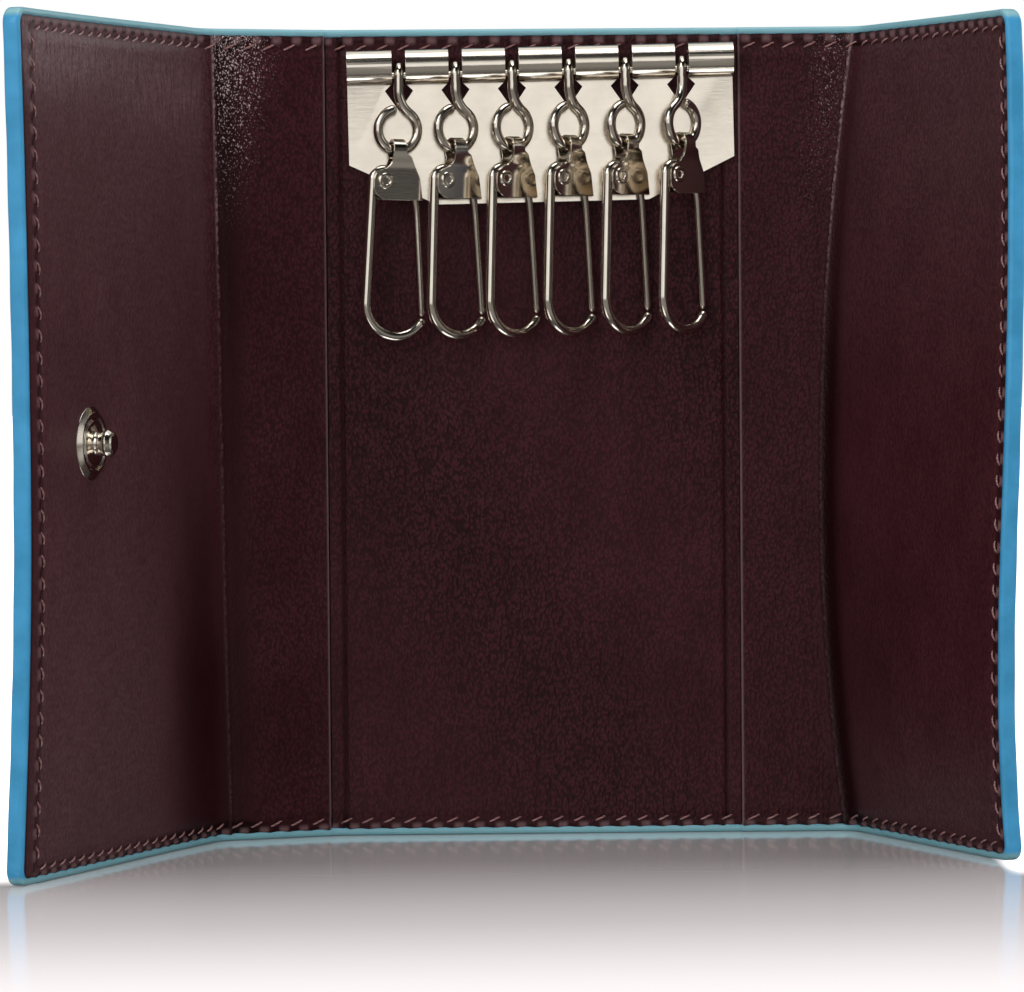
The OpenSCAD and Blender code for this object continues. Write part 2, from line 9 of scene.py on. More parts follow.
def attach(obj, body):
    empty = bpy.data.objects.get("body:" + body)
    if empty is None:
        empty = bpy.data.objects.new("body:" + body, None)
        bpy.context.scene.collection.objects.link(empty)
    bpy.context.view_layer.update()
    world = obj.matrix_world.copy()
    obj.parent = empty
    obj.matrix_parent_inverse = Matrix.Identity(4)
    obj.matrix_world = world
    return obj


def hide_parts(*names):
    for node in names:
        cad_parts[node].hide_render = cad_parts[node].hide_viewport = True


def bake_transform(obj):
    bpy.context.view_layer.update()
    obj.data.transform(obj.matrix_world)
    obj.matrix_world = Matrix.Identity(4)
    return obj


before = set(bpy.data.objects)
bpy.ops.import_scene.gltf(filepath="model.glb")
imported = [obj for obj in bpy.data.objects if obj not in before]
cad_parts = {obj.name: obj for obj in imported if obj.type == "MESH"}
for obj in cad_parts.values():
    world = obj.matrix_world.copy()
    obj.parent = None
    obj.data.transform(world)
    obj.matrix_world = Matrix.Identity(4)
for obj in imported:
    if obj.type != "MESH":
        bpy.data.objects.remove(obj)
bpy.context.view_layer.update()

bl_info = {
    "name": "Key Case",
    "version": (1, 0, 0),
    "blender": (4, 5, 0),
    "location": "View3D > Sidebar > Key Case",
    "description": "Builds a tri-fold leather key case with six spring hooks round its packed frame",
    "category": "Add Mesh",
}

# Sizes of the frame in millimetres: x along the back panel, y out of the back, z up
MM = 0.001
HEIGHT, HALF_BACK = 108.0, 27.6
PANEL_T, LINING_T, BOARD_END_T, LAYER_GAP = 2.2, 0.8, 1.3, 0.02
FACE_Y = -PANEL_T / 2
LIP_STEP, CREASED_LINE = 0.4, 25.6
EDGE_W, EDGE_R, EDGE_PROUD, CORNER_R = 0.8, 0.5, 0.02, 1.4
BOARD_BORDER = 3.0
RUN_GAP, SEAT_GAP, STRAP_PLAY = 0.05, 0.03, 0.1
SHARP_ANGLE, CAD_SHARP_ANGLE = 50, 32

SNAP_Z, STUD_FROM_FOLD, SOCKET_FROM_FOLD = 54.0, 37.3, 17.85
# Half section of the stud (radius, height over the leather) from its bore's ceiling to its top
STUD_PROFILE = (
    (0, 0.9), (1.03, 0.9), (1.03, 0), (4.62, 0), (4.75, 0.14), (3.85, 0.66), (3.5, 0.6), (3.15, 0.34), (2.85, 0.6),
    (2.4, 0.64), (1.5, 0.95), (1.38, 1.5), (1.8, 2.2), (1.8, 2.6), (1.45, 3.1), (1.1, 3.3), (0, 3.3))

PLATE_X, BARREL_Z, PLATE_TILT = 1.1, 103.2, math.radians(1)
BARREL_R, PLATE_T = 2.3, 0.6
BARREL_Y = FACE_Y + LIP_STEP - BARREL_R
HOOK_PITCH, HOOK_COUNT = 7.55, 6
WIRE_R, HOOK_R, GATE_R, PIN_R, PIN_OUT = 0.65, 0.65, 0.50, 0.45, 0.4
PIN_DROP = math.sqrt((BARREL_R - PLATE_T - PIN_R - SEAT_GAP) ** 2 - PIN_OUT ** 2)
EYE_R = PIN_R + RUN_GAP + WIRE_R
RING_R, RING_DROP, RING_TURN, RING_END = 2.75, 7.25, math.radians(55), math.radians(108)
# Degrees that each hook is turned about its own axis and leans sideways, and the way its ring's wire bends
HOOK_YAWS = (18, 30, 36, 39, 41, 44)
HOOK_ROLLS = (1.5, 0, 0, 0, 0, 0)
HOOK_BENDS = (1, 1, 1, 1, 1, -1)
STRAP_T, STRAP_LOOP_R, NECK_W, LOOP_TRIM, STRAP_BEVEL = 0.35, 1.2, 1.9, 0.16, 0.1
CLIP_LEFT, CLIP_RIGHT, CLIP_DROP, CLIP_CORNER_R = 3.5, 3.3, 6.6, 1.8
RIVET_DROP, RIVET_R, RIVET_HEAD_R, LEG_X = 4.1, 0.8, 1.1, 3.4
HOOK_EYE_R = RIVET_R + RUN_GAP + HOOK_R
RIVET_X = HOOK_EYE_R - LEG_X
BOW_R, BOW_X, BOW_DROP, BOW_END, BOW_SWELL = 4.25, 0.25, 24.7, math.radians(325), 0.05
BOW_Z = BOW_R - BOW_DROP
GATE_REST = 0.15

# Each side of the case: folds at distances across the leather, and how the leather, bent by use, departs from them.
# crease and open are polynomials in h, the height from -1 at the foot to 1 at the head, highest power first.
SIDES = {
    "left": dict(
        sign=-1, spine=17.2, flap=57.4, turn1=20.0, turn2=49.0, bend1=3.0, bend2=1.7, cup=2.0, phase=1.7,
        crease=(0.8, -1.1), open=(-1.353, 0.728, 0.35), ridge=1.15, inset=4.4, zone1=(24.0, 31.5),
        zone2=(41.0, 48.5), split=34.0, snap=STUD_FROM_FOLD, settle_reach=11.0,
    ),
    "right": dict(
        sign=1, spine=12.8, flap=46.4, turn1=1.0, turn2=67.0, bend1=2.0, bend2=1.7, cup=3.0, phase=3.1,
        crease=(-0.214, 3.864, 1.041, -1.62), open=(2.624, 2.282, -2.167, -1.074), ridge=0.3, inset=2.1,
        zone1=(25.4, 30.0), zone2=(36.6, 44.6), split=33.0, snap=SOCKET_FROM_FOLD, settle_reach=15.0,
    ),
}
for _side in SIDES.values():
    _side["crease_s"] = HALF_BACK + _side["spine"]
    _side["end"] = _side["crease_s"] + _side["flap"]
    _side["snap_s"] = _side["crease_s"] + _side["snap"]
STITCH_TOP, STITCH_FOOT, STITCH_PITCH = 2.4, 2.0, 2.8
STITCH_HEIGHTS = (HEIGHT - STITCH_TOP, STITCH_FOOT)

# The photo's camera: focal length and width in pixels, place in millimetres, and yaw, pitch and lean in degrees
FOCAL_PIXELS, PHOTO_WIDTH, SENSOR_WIDTH = 5290, 1024, 36
CAMERA_PLACE, CAMERA_TURNS = (-21.04, -709.76, 70.23), (1.455, 2.0, 0.457)


# ---------------------------------------------------------------- settings
def colour_setting(label, text, default):
    return bpy.props.FloatVectorProperty(
        name=label, description=text, subtype="COLOR", size=3, default=default, min=0, max=1)


def length_setting(label, text, default, low, high, digits=5):
    return bpy.props.FloatProperty(
        name=label, description=text, default=default, min=low, max=high, unit="LENGTH", precision=digits)


def share_setting(label, text, default):
    return bpy.props.FloatProperty(name=label, description=text, default=default, min=0, max=1, subtype="FACTOR")


def power_setting(label, text, default):
    return bpy.props.FloatProperty(name=label, description=text, default=default, min=0, unit="POWER")


class KeyCaseLeather(bpy.types.PropertyGroup):
    lining_colour: colour_setting("Lining", "Colour of the lining leather", (0.0585, 0.0108, 0.0152))
    lining_light: colour_setting("Lining, rubbed", "Colour of the lining where it is rubbed",
                                 (0.0860, 0.0198, 0.0265))
    outer_colour: colour_setting("Outside", "Colour of the outer leather", (0.045, 0.0090, 0.0120))
    edge_colour: colour_setting("Painted edge", "Colour of the edge paint", (0.050, 0.360, 0.660))
    # Painted highlight: the paler colour that the painted edge takes at the head and the foot.
    rim_highlight_colour: colour_setting("Painted edge, head and foot", "Colour of the edge paint that the head and foot show",
                               (0.240, 0.520, 0.590))
    thread_colour: colour_setting("Thread", "Colour of the sewing thread", (0.220, 0.100, 0.095))
    grain_height: length_setting("Grain height", "Height of the leather's pebble grain", 0.00014, 0, 0.001, 6)
    stitch_length: length_setting("Stitch length", "Length of the thread that shows in one stitch",
                                  0.0021, 0.001, 0.0026)
    thread_radius: length_setting("Thread radius", "Radius of the sewing thread", 0.00014, 0.0001, 0.0005)


class KeyCaseMetal(bpy.types.PropertyGroup):
    nickel_colour: colour_setting("Nickel", "Colour of the plated metal", (0.760, 0.690, 0.590))
    roughness: share_setting("Roughness", "Roughness of the plated metal", 0.13)
    wire_sides: bpy.props.IntProperty(
        name="Wire sides", description="Sides of a wire's section", default=20, min=8, max=48)


class KeyCaseStage(bpy.types.PropertyGroup):
    key_power: power_setting("Key light", "Power of the large soft light in front", 2.2)
    top_power: power_setting("Top light", "Power of the soft light above", 1.6)
    fill: bpy.props.FloatProperty(
        name="Room light", description="Strength of the even light all round", default=0.55, min=0, max=2)
    mirror: share_setting("Floor gloss", "Share of the floor's mirror close to the case", 0.82)


def settings():
    scene = bpy.context.scene
    return scene.key_case_leather, scene.key_case_metal, scene.key_case_stage


# ---------------------------------------------------------------- mesh helpers
def grid_faces(rows, cols, wrap_rows=False, wrap_cols=False, start=0):
    """Quads of a grid of rows by cols points: point (i, j) joins (i, j + 1), (i + 1, j + 1) and (i + 1, j)."""
    i = np.arange(rows if wrap_rows else rows - 1)[:, None]
    j = np.arange(cols if wrap_cols else cols - 1)[None, :]
    i2, j2 = (i + 1) % rows, (j + 1) % cols
    quads = np.stack([i * cols + j, i * cols + j2, i2 * cols + j2, i2 * cols + j], -1)
    return start + quads.reshape(-1, 4)


def capped_faces(rows, cols):
    """Faces of a grid closed round its columns, with a fan of triangles from its first and its last row to two
    poles, which follow the grid's points."""
    j, poles = np.arange(cols), rows * cols
    low = np.stack([np.full(cols, poles), (j + 1) % cols, j], -1)
    high = np.stack([np.full(cols, poles + 1), poles - cols + j, poles - cols + (j + 1) % cols], -1)
    return [grid_faces(rows, cols, wrap_cols=True), np.concatenate([low, high])]


def signed_volume(verts, faces):
    """A sixth of the sum of each triangle's triple product, which is positive where faces point outwards."""
    a, b, c = (verts[faces[:, k]] for k in (0, 1, 2))
    total = np.einsum("ij,ij->i", a, np.cross(b, c)).sum()
    if faces.shape[1] == 4:
        d = verts[faces[:, 3]]
        total += np.einsum("ij,ij->i", a, np.cross(c, d)).sum()
    return total / 6


def linked(name, data):
    obj = bpy.data.objects.new(name, data)
    bpy.context.scene.collection.objects.link(obj)
    return obj


def make_piece(name, verts, face_sets, material, masks=None):
    """A mesh object from points in millimetres and arrays of quads or triangles, turned to face outwards."""
    verts = np.asarray(verts, float).reshape(-1, 3)
    centred = verts - verts.mean(0)
    if sum(signed_volume(centred, f) for f in face_sets) < 0:
        face_sets = [f[:, ::-1] for f in face_sets]
    mesh = bpy.data.meshes.new(name)
    faces = [row for f in face_sets for row in f.tolist()]
    mesh.from_pydata((verts * MM).tolist(), [], faces)
    mesh.polygons.foreach_set("use_smooth", np.full(len(mesh.polygons), True))
    for key, values in (masks or {}).items():
        layer = mesh.attributes.new(key, "FLOAT", "POINT")
        layer.data.foreach_set("value", np.asarray(values, np.float32).ravel())
    mesh.update()
    mesh.set_sharp_from_angle(angle=math.radians(SHARP_ANGLE))
    mesh.materials.append(material)
    return linked(name, mesh)


def slab(inner, outer):
    """Closed body between two grids of points of one shape: both grids, and a wall round their common border."""
    rows, cols = inner.shape[:2]
    count = rows * cols
    index = np.arange(count).reshape(rows, cols)
    ring = np.concatenate([index[0, :-1], index[:-1, -1], index[-1, :0:-1], index[:0:-1, 0]])
    after = np.roll(ring, -1)
    walls = np.stack([after, ring, ring + count, after + count], -1)
    quads = np.concatenate([grid_faces(rows, cols), grid_faces(rows, cols, start=count)[:, ::-1], walls])
    return np.concatenate([inner.reshape(-1, 3), outer.reshape(-1, 3)]), quads


def tube(path, radius, across, sides, end_rings=4):
    """A round wire along a path. Ring k is path[k] + r (cos u * n + sin u * b), with b the part of `across`
    square to the path and n square to both. Half balls close its ends."""
    path = np.asarray(path, float)
    radius = np.broadcast_to(np.asarray(radius, float), len(path))
    across = np.broadcast_to(np.asarray(across, float), path.shape)
    tangent = np.gradient(path, axis=0)
    tangent /= np.linalg.norm(tangent, axis=1)[:, None]
    turn = np.linspace(0, math.pi / 2, end_rings + 1)[1:-1]

    def with_ends(rows):
        return np.concatenate([np.repeat(rows[:1], len(turn), 0), rows, np.repeat(rows[-1:], len(turn), 0)])

    first = path[0] - tangent[0] * (radius[0] * np.sin(turn[::-1]))[:, None]
    last = path[-1] + tangent[-1] * (radius[-1] * np.sin(turn))[:, None]
    middles = np.concatenate([first, path, last])
    reach = np.concatenate([radius[0] * np.cos(turn[::-1]), radius, radius[-1] * np.cos(turn)])
    t, b = with_ends(tangent), with_ends(across)
    b = b - np.einsum("ij,ij->i", b, t)[:, None] * t
    b /= np.linalg.norm(b, axis=1)[:, None]
    n = np.cross(t, b)
    u = np.linspace(0, 2 * math.pi, sides, endpoint=False)
    rings = middles[:, None] + reach[:, None, None] * (
        np.cos(u)[None, :, None] * n[:, None] + np.sin(u)[None, :, None] * b[:, None])
    poles = np.stack([path[0] - tangent[0] * radius[0], path[-1] + tangent[-1] * radius[-1]])
    return np.concatenate([rings.reshape(-1, 3), poles]), capped_faces(len(middles), sides)


def turned(profile, sides):
    """Points (r cos u, r sin u, h) for each (r, h) of a profile turned about z."""
    u = np.linspace(0, 2 * math.pi, sides, endpoint=False)
    return np.stack([profile[:, :1] * np.cos(u), profile[:, :1] * np.sin(u), np.repeat(profile[:, 1:], sides, 1)],
                    -1).reshape(-1, 3)


def smooth_profile(points, reach=0.12, steps=5):
    """A profile of straight runs with each inner corner replaced by a quadratic curve of the given reach."""
    points = np.asarray(points, float)
    found = [points[:1]]
    t = np.linspace(0, 1, steps)[:, None]
    for before, corner, after in zip(points, points[1:], points[2:]):
        a, b = (corner + (other - corner) * min(reach / np.linalg.norm(other - corner), 0.45)
                for other in (before, after))
        found.append((1 - t) ** 2 * a + 2 * t * (1 - t) * corner + t ** 2 * b)
    return np.concatenate(found + [points[-1:]])


def round_edges(obj, width, segments, angle):
    """A bevel in millimetres on the edges that turn by more than the angle in degrees."""
    edge = obj.modifiers.new("Rounded edges", "BEVEL")
    edge.width = width * MM
    edge.segments = segments
    edge.limit_method = "ANGLE"
    edge.angle_limit = math.radians(angle)
    edge.harden_normals = True


def fitted(obj, replaced=(), body=None):
    """Hide the frame's nodes that a piece stands in for, and attach it to the body that it rides on."""
    if replaced:
        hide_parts(*replaced)
    if body:
        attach(obj, body)
    return obj


def refined_copy(source, name, material, body, bevel=0.0):
    """A welded copy of a CAD node with smooth faces, sharp edges kept, and a small round on those edges."""
    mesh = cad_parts[source].data.copy()
    mesh.name = name
    work = bmesh.new()
    work.from_mesh(mesh)
    bmesh.ops.remove_doubles(work, verts=work.verts, dist=2e-6)
    bmesh.ops.dissolve_limit(work, angle_limit=math.radians(0.3), verts=work.verts, edges=work.edges)
    work.to_mesh(mesh)
    work.free()
    mesh.polygons.foreach_set("use_smooth", np.full(len(mesh.polygons), True))
    mesh.set_sharp_from_angle(angle=math.radians(CAD_SHARP_ANGLE))
    mesh.materials.clear()
    mesh.materials.append(material)
    obj = linked(name, mesh)
    if bevel:
        round_edges(obj, bevel, 2, CAD_SHARP_ANGLE)
    fitted(obj, [source], body)


# ---------------------------------------------------------------- the leather's shape
def gauss(x, width):
    return np.exp(-(x / width) ** 2)


def side_height(z):
    return (np.asarray(z, float) - HEIGHT / 2) / (HEIGHT / 2)


def crease_at(side, z):
    """Place of the flap's crease across the leather at the height z."""
    return side["crease_s"] + np.polyval(side["crease"], side_height(z))


def leather_point(side, s, z, t):
    """Point of the folded leather at the distance s from the case's middle, the height z and the depth t below
    the lining's face. The face turns by one arc at the lip, one at the flap's crease and slowly over the flap:
    x is the sum of cos(turn) ds and y of -sin(turn) ds, and the depth goes along the face's normal
    (sin(turn), cos(turn))."""
    s, z, t = np.broadcast_arrays(np.asarray(s, float), np.asarray(z, float), np.asarray(t, float))
    crease = crease_at(side, z)
    turn1 = math.radians(side["turn1"]) * np.ones_like(s)
    turn2 = np.radians(side["turn2"] + np.polyval(side["open"], side_height(z)))
    cup = np.radians(side["cup"])
    starts = [np.zeros_like(s), HALF_BACK - side["bend1"], HALF_BACK + side["bend1"],
              crease - side["bend2"], crease + side["bend2"]]
    ends = starts[1:] + [np.full_like(s, 1000.0)]
    turns = [0.0, turn1, 0.0, turn2 - cup / 2, cup]
    lengths = [1, 2 * side["bend1"], 1, 2 * side["bend2"], side["flap"]]
    u, v, angle = np.zeros_like(s), np.full_like(s, FACE_Y), np.zeros_like(s)
    for start, end, turn, reach in zip(starts, ends, turns, lengths):
        run = np.clip(s - start, 0, np.maximum(end - start, 0))
        rate = np.maximum(np.abs(np.asarray(turn) / reach), 1e-9)
        u = u + (np.sin(angle + rate * run) - np.sin(angle)) / rate
        v = v - (np.cos(angle) - np.cos(angle + rate * run)) / rate
        angle = angle + rate * run
    at_snap = gauss(np.hypot(s - side["snap_s"], z - SNAP_Z), side["settle_reach"])
    depth = t + wave(side, s, z) + side.get("settle", 0) * at_snap
    return np.stack([side["sign"] * (u + depth * np.sin(angle)), v + depth * np.cos(angle), z], -1)


def flat_flap(side):
    """The frame's flat flap: x away from the middle and y of its fold, and its angle to the back."""
    a, b = math.radians(side["turn1"]), math.radians(side["turn1"] + side["turn2"])
    return HALF_BACK + side["spine"] * math.cos(a), FACE_Y - side["spine"] * math.sin(a), b


def settle_snap(side):
    """Depth that brings the leather, bent by use, back to the frame's flat flap at the snap: the distance of the
    leather from the plane through the fold, along that plane's normal."""
    fold_x, fold_y, b = flat_flap(side)
    x, y, _ = leather_point(side, side["snap_s"], SNAP_Z, 0.0)
    side["settle"] = -float((side["sign"] * x - fold_x) * math.sin(b) + (y - fold_y) * math.cos(b))


def wave(side, s, z):
    """Slow waves of the whole thickness, in millimetres: sines of s and z that fade out towards the back."""
    grow = np.clip((s - HALF_BACK) / 20, 0, 1)
    k = side["phase"]
    return grow * (0.16 * np.sin(s / 9.1 + k + z / 31) + 0.12 * np.sin(z / 13.5 + k * 2 + s / 21))


def steps_along(stops, sizes):
    """Values from the first stop to the last, stepping by about the given size between each two stops."""
    parts = [np.linspace(a, b, max(2, int(round((b - a) / d)) + 1))[:-1]
             for a, b, d in zip(stops, stops[1:], sizes)]
    return np.concatenate(parts + [np.array([stops[-1]])])


def corner_reach(side, s):
    """Half the leather's height at s, less where its free corners are rounded: h - r + sqrt(r^2 - d^2)."""
    half = HEIGHT / 2 - EDGE_W
    d = np.clip(s - (side["end"] - EDGE_W - CORNER_R), 0, CORNER_R)
    return half - CORNER_R + np.sqrt(np.maximum(CORNER_R ** 2 - d ** 2, 0))


def flat_grid(side, s_values, rows, border, corners):
    """Grid of flat places (s, z): each column reaches up and down to the leather's border at its s."""
    share = np.concatenate([
        np.linspace(-1, -0.93, 10)[:-1], np.linspace(-0.93, 0.93, rows)[:-1], np.linspace(0.93, 1, 10)])
    half = corner_reach(side, s_values) if corners else np.full(len(s_values), HEIGHT / 2 - border)
    s = np.repeat(s_values[:, None], len(share), 1)
    return s, HEIGHT / 2 + half[:, None] * share[None, :]


def stitch_distance(side, s, z):
    """Distance to the stitched line, positive towards the border, and the run along it."""
    top, foot, free = HEIGHT - STITCH_TOP - z, z - STITCH_FOOT, side["end"] - side["inset"] - s
    d = -np.minimum(np.minimum(top, foot), free)
    return d, np.where(free < np.minimum(top, foot), z, s)


def border_distance(side, s, z):
    return np.minimum(np.minimum(z, HEIGHT - z), side["end"] - s) - EDGE_W


def pulled(d, along):
    """Relief beside a stitched line at the distance d towards the border: the thread's groove, a small rib at
    each stitch between thread and border, and a soft roll inside."""
    ribs = 0.5 + 0.5 * np.cos(2 * math.pi * along / STITCH_PITCH)
    return (-0.16 * gauss(d, 0.42) - 0.06 * ribs * gauss(d, 0.7) + 0.20 * ribs ** 2 * gauss(d - 0.95, 0.6)
            - 0.05 * (1 - ribs) * gauss(d - 0.9, 0.5) + 0.06 * gauss(d + 1.5, 0.8))


def ridge_place(side, s, z):
    """Distance from the thin ridge that runs beside the flap's crease."""
    return s - crease_at(side, z) + side["ridge"]


def faint_crease(c, z):
    """Where the left flap is creased, at the distance c from its ridge."""
    return gauss(c - 8.0 - 0.01 * (z - 84), 0.2)


def lining_relief(side, s, z):
    """How far the lining's face stands out: the pull of the stitches, a rounded border, a thin ridge along the
    crease, fine folds beside it and a faint crease on the flap. Millimetres, towards the viewer."""
    out = pulled(*stitch_distance(side, s, z))
    out -= 0.20 * np.clip(1 - border_distance(side, s, z) / 0.5, 0, 1) ** 2
    c = ridge_place(side, s, z)
    out += 0.11 * gauss(c, 0.22) - 0.09 * gauss(c + 0.55, 0.3)
    ripple = np.sin(s * 5.1 + 0.8 * np.sin(z * 0.55) + 0.5 * np.sin(z * 1.7)) * np.sin(s * 2.3 + z * 0.21 + 1.0)
    out += 0.035 * ripple * gauss(c + 3.0, 5.0)
    if side["sign"] < 0:
        out += 0.05 * faint_crease(c, z) * gauss(z - 86, 9)
    out -= 0.22 * np.clip(1 - (s - HALF_BACK) / 0.3, 0, 1) ** 2
    return out


MASKS = ("grain", "groove", "highlight_lines", "sheen", "fan", "spark", "ridge", "seam", "run", "across")


def lining_masks(side, s, z):
    """Point masks for the leather's material, as named in MASKS: strength of the grain, painted shade in grooves and
    creases, painted highlight lines, a painted sheen where the flaps catch the light, a streaked painted sheen in a
    fan, painted glints on pebbles, the distance from the crease's ridge, the distance from the stitched line with
    the run along it, and the place across the leather, the last four in metres."""
    c = ridge_place(side, s, z)
    d, along = stitch_distance(side, s, z)
    high, top = np.clip((z - 62) / 40, 0, 1), np.clip((z - 79) / 27, 0, 1)
    over = np.clip(c / 3, 0, 1)
    # Painted shade along the stitched line and in the gap at the border.
    groove = 0.65 * gauss(d, 0.4) + 0.95 * gauss(np.maximum(border_distance(side, s, z), 0), 0.5)
    # Painted highlight line on the lip's edge.
    highlight_lines = 0.6 * gauss(s - HALF_BACK - 0.12, 0.14)
    if side["sign"] < 0:
        grain = 0.75 - 0.35 * over
        # Painted sheen: a streaked fan of light from the left flap's top corner, and a band along the head.
        corner = np.hypot((side["end"] - s - 3) / 34, (HEIGHT - 2.4 - z) / 9.5)
        fan = over * (0.95 * gauss(np.maximum(corner - 0.3, 0), 0.5) + 0.45 * gauss(z - 99, 5) * gauss(c - 14, 16))
        # Painted sheen: the left flap turns lighter towards the head and near the foot, less in the shade and at its
        # free edge.
        sheen = over * (0.27 + 0.16 * np.clip((z - 70) / 35, 0, 1) + 0.16 * gauss(z - 16, 24))
        low = 1 - np.clip((z - 22) / 55, 0, 1)
        shade = low * gauss(np.maximum(c - 5, 0), 12) * (c > -0.2)
        sheen = sheen * (1 - 0.9 * shade) * (1 - 0.6 * gauss(side["end"] - s, 3.5))
        # Painted shade on the spine beside the crease, stronger and wider towards the head.
        beside = gauss(np.minimum(c + 1.6, 0), 2.6 + 0.8 * high) * (c <= -0.2)
        groove = groove + 0.7 * shade + (0.66 + 0.24 * high) * beside
        # Painted glints on the pebbles beside the crease, near the head.
        spark = np.clip(1.15 * top ** 1.5 * gauss(c + 2.3, 2.0 + 2.6 * top), 0, 1) * (c < -0.3)
        # Painted highlight line along a faint crease on the flap.
        highlight_lines = highlight_lines + 0.5 * faint_crease(c, z) * gauss(z - 89, 6)
    else:
        grain = 0.75 - 0.2 * over
        fan = 0 * s
        # Painted sheen: the right flap turns lighter towards the head and at the foot.
        sheen = over * (0.06 + 0.17 * np.clip((z - 55) / 45, 0, 1)) + 0.18 * gauss(z - 6, 9) * over
        # Painted shade along the crease, and low on the flap beside it.
        groove = groove + (0.42 + 0.25 * (1 - high)) * gauss(c - 1.2, 2.8)
        groove = groove + 0.28 * (1 - high) * gauss(np.maximum(c - 3, 0), 18) * (c > -0.2)
        # Faint painted glints beside the crease, near the head.
        spark = 0.3 * top * gauss(c + 2.5, 2.5) * (c < 0)
    return grain, groove, highlight_lines, sheen, fan, spark, np.clip(c, -9, 9) * MM, d * MM, along * MM, s * MM


def plain_masks(shape):
    return np.full(shape, 0.4), *(np.full(shape, -0.009 if name in ("ridge", "seam") else 0) for name in MASKS[1:])


def sheet(name, inner, outer, masks, material):
    """A closed layer between two grids of points, with the given masks on its viewer's side."""
    verts, quads = slab(inner, outer)
    plain = plain_masks(inner.shape[:2])
    layers = {key: np.concatenate([np.ravel(a), np.ravel(b)]) for key, a, b in zip(MASKS, masks or plain, plain)}
    return make_piece(name, verts, [quads], material, layers)


def leather_sheet(name, side, s_values, rows, t_in, t_out, material, face=None, masks=None, corners=True,
                  border=EDGE_W):
    """A layer of the folded case between two depths, with the relief `face` added on its viewer's side."""
    s, z = flat_grid(side, s_values, rows, border, corners)
    lift = face(side, s, z) if face else 0.0
    depth = t_in(s) if callable(t_in) else t_in
    return sheet(name, leather_point(side, s, z, depth - lift), leather_point(side, s, z, t_out),
                 masks and masks(side, s, z), material)


def cover_depth(side):
    """Depth of the outer leather's hidden face: below the board in back and flap, and higher in the spine."""
    def depth(s):
        inside = np.clip((s - HALF_BACK + 0.5) / 2, 0, 1) * np.clip((side["crease_s"] + 1.5 - s) / 2, 0, 1)
        return BOARD_END_T + LAYER_GAP - inside * (BOARD_END_T - LINING_T)
    return depth


# ---------------------------------------------------------------- materials
class Nodes:
    """Adds nodes to one tree. Each input is a plain value or another node's output."""

    def __init__(self, tree):
        self.tree = tree

    def feed(self, socket, value):
        if isinstance(value, bpy.types.NodeSocket):
            self.tree.links.new(value, socket)
        else:
            socket.default_value = value

    def add(self, kind, inputs=None, **props):
        made = self.tree.nodes.new("ShaderNode" + kind)
        for key, value in props.items():
            setattr(made, key, value)
        for key, value in (inputs or {}).items():
            self.feed(made.inputs[key], value)
        return made

    def finish(self, output, shader):
        self.tree.links.new(shader.outputs[0], self.add(output).inputs["Surface"])

    def math(self, operation, a, b=None, clamp=False):
        inputs = {0: a} if b is None else {0: a, 1: b}
        return self.add("Math", inputs, operation=operation, use_clamp=clamp).outputs[0]

    def plus(self, a, b, clamp=False):
        return self.math("ADD", a, b, clamp)

    def minus(self, a, b, clamp=False):
        return self.math("SUBTRACT", a, b, clamp)

    def times(self, a, b, clamp=False):
        return self.math("MULTIPLY", a, b, clamp)

    def larger(self, a, b):
        return self.math("MAXIMUM", a, b)

    def span(self, value, low, high, at_low=0.0, at_high=1.0):
        """A value between low and high carried to the range from at_low to at_high, and held beyond it."""
        return self.add("MapRange", {0: value, 1: low, 2: high, 3: at_low, 4: at_high}).outputs[0]

    def mix(self, share, a, b):
        made = self.add("Mix", {0: share}, data_type="RGBA")
        for key, value in ((6, a), (7, b)):
            self.feed(made.inputs[key], value if isinstance(value, bpy.types.NodeSocket) else (*value, 1))
        return made.outputs[2]

    def ramp(self, value, stops):
        """Grey values at rising places from 0 to 1."""
        made = self.add("ValToRGB", {0: value})
        points = made.color_ramp.elements
        points[0].position, points[1].position = stops[0][0], stops[-1][0]
        for place, _ in stops[1:-1]:
            points.new(place)
        for point, (_, grey) in zip(sorted(points, key=lambda e: e.position), stops):
            point.color = (grey, grey, grey, 1)
        return made.outputs[0]

    def place(self):
        return self.add("TexCoord").outputs["Object"]

    def moved(self, vector, scale, rotation=(0, 0, 0)):
        return self.add("Mapping", {"Vector": vector, "Scale": scale, "Rotation": rotation}).outputs[0]

    def noise(self, vector, scale, detail, roughness=0.5):
        return self.add("TexNoise", {"Vector": vector, "Scale": scale, "Detail": detail,
                                     "Roughness": roughness}).outputs["Fac"]

    def bump(self, height, strength, distance):
        return self.add("Bump", {"Height": height, "Strength": strength, "Distance": distance}).outputs[0]

    def group(self, name, build, scale_name, scale):
        tree = kept(bpy.data.node_groups, name, build)
        return self.add("Group", {"Coordinates": self.place(), scale_name: scale}, node_tree=tree).outputs


def kept(store, name, build, *values):
    """The datablock of this name, built the first time it is asked for."""
    return store.get(name) or build(name, *values)


def new_material(name):
    material = bpy.data.materials.new(name)
    material.use_nodes = True
    material.node_tree.nodes.clear()
    return material, Nodes(material.node_tree)


def new_group(name, scale_name, scale, results):
    """A node group that takes coordinates and a scale and gives values."""
    group = bpy.data.node_groups.new(name, "ShaderNodeTree")
    group.interface.new_socket("Coordinates", in_out="INPUT", socket_type="NodeSocketVector")
    group.interface.new_socket(scale_name, in_out="INPUT", socket_type="NodeSocketFloat").default_value = scale
    for label in results:
        group.interface.new_socket(label, in_out="OUTPUT", socket_type="NodeSocketFloat")
    return group, Nodes(group), group.nodes.new("NodeGroupInput").outputs, group.nodes.new("NodeGroupOutput").inputs


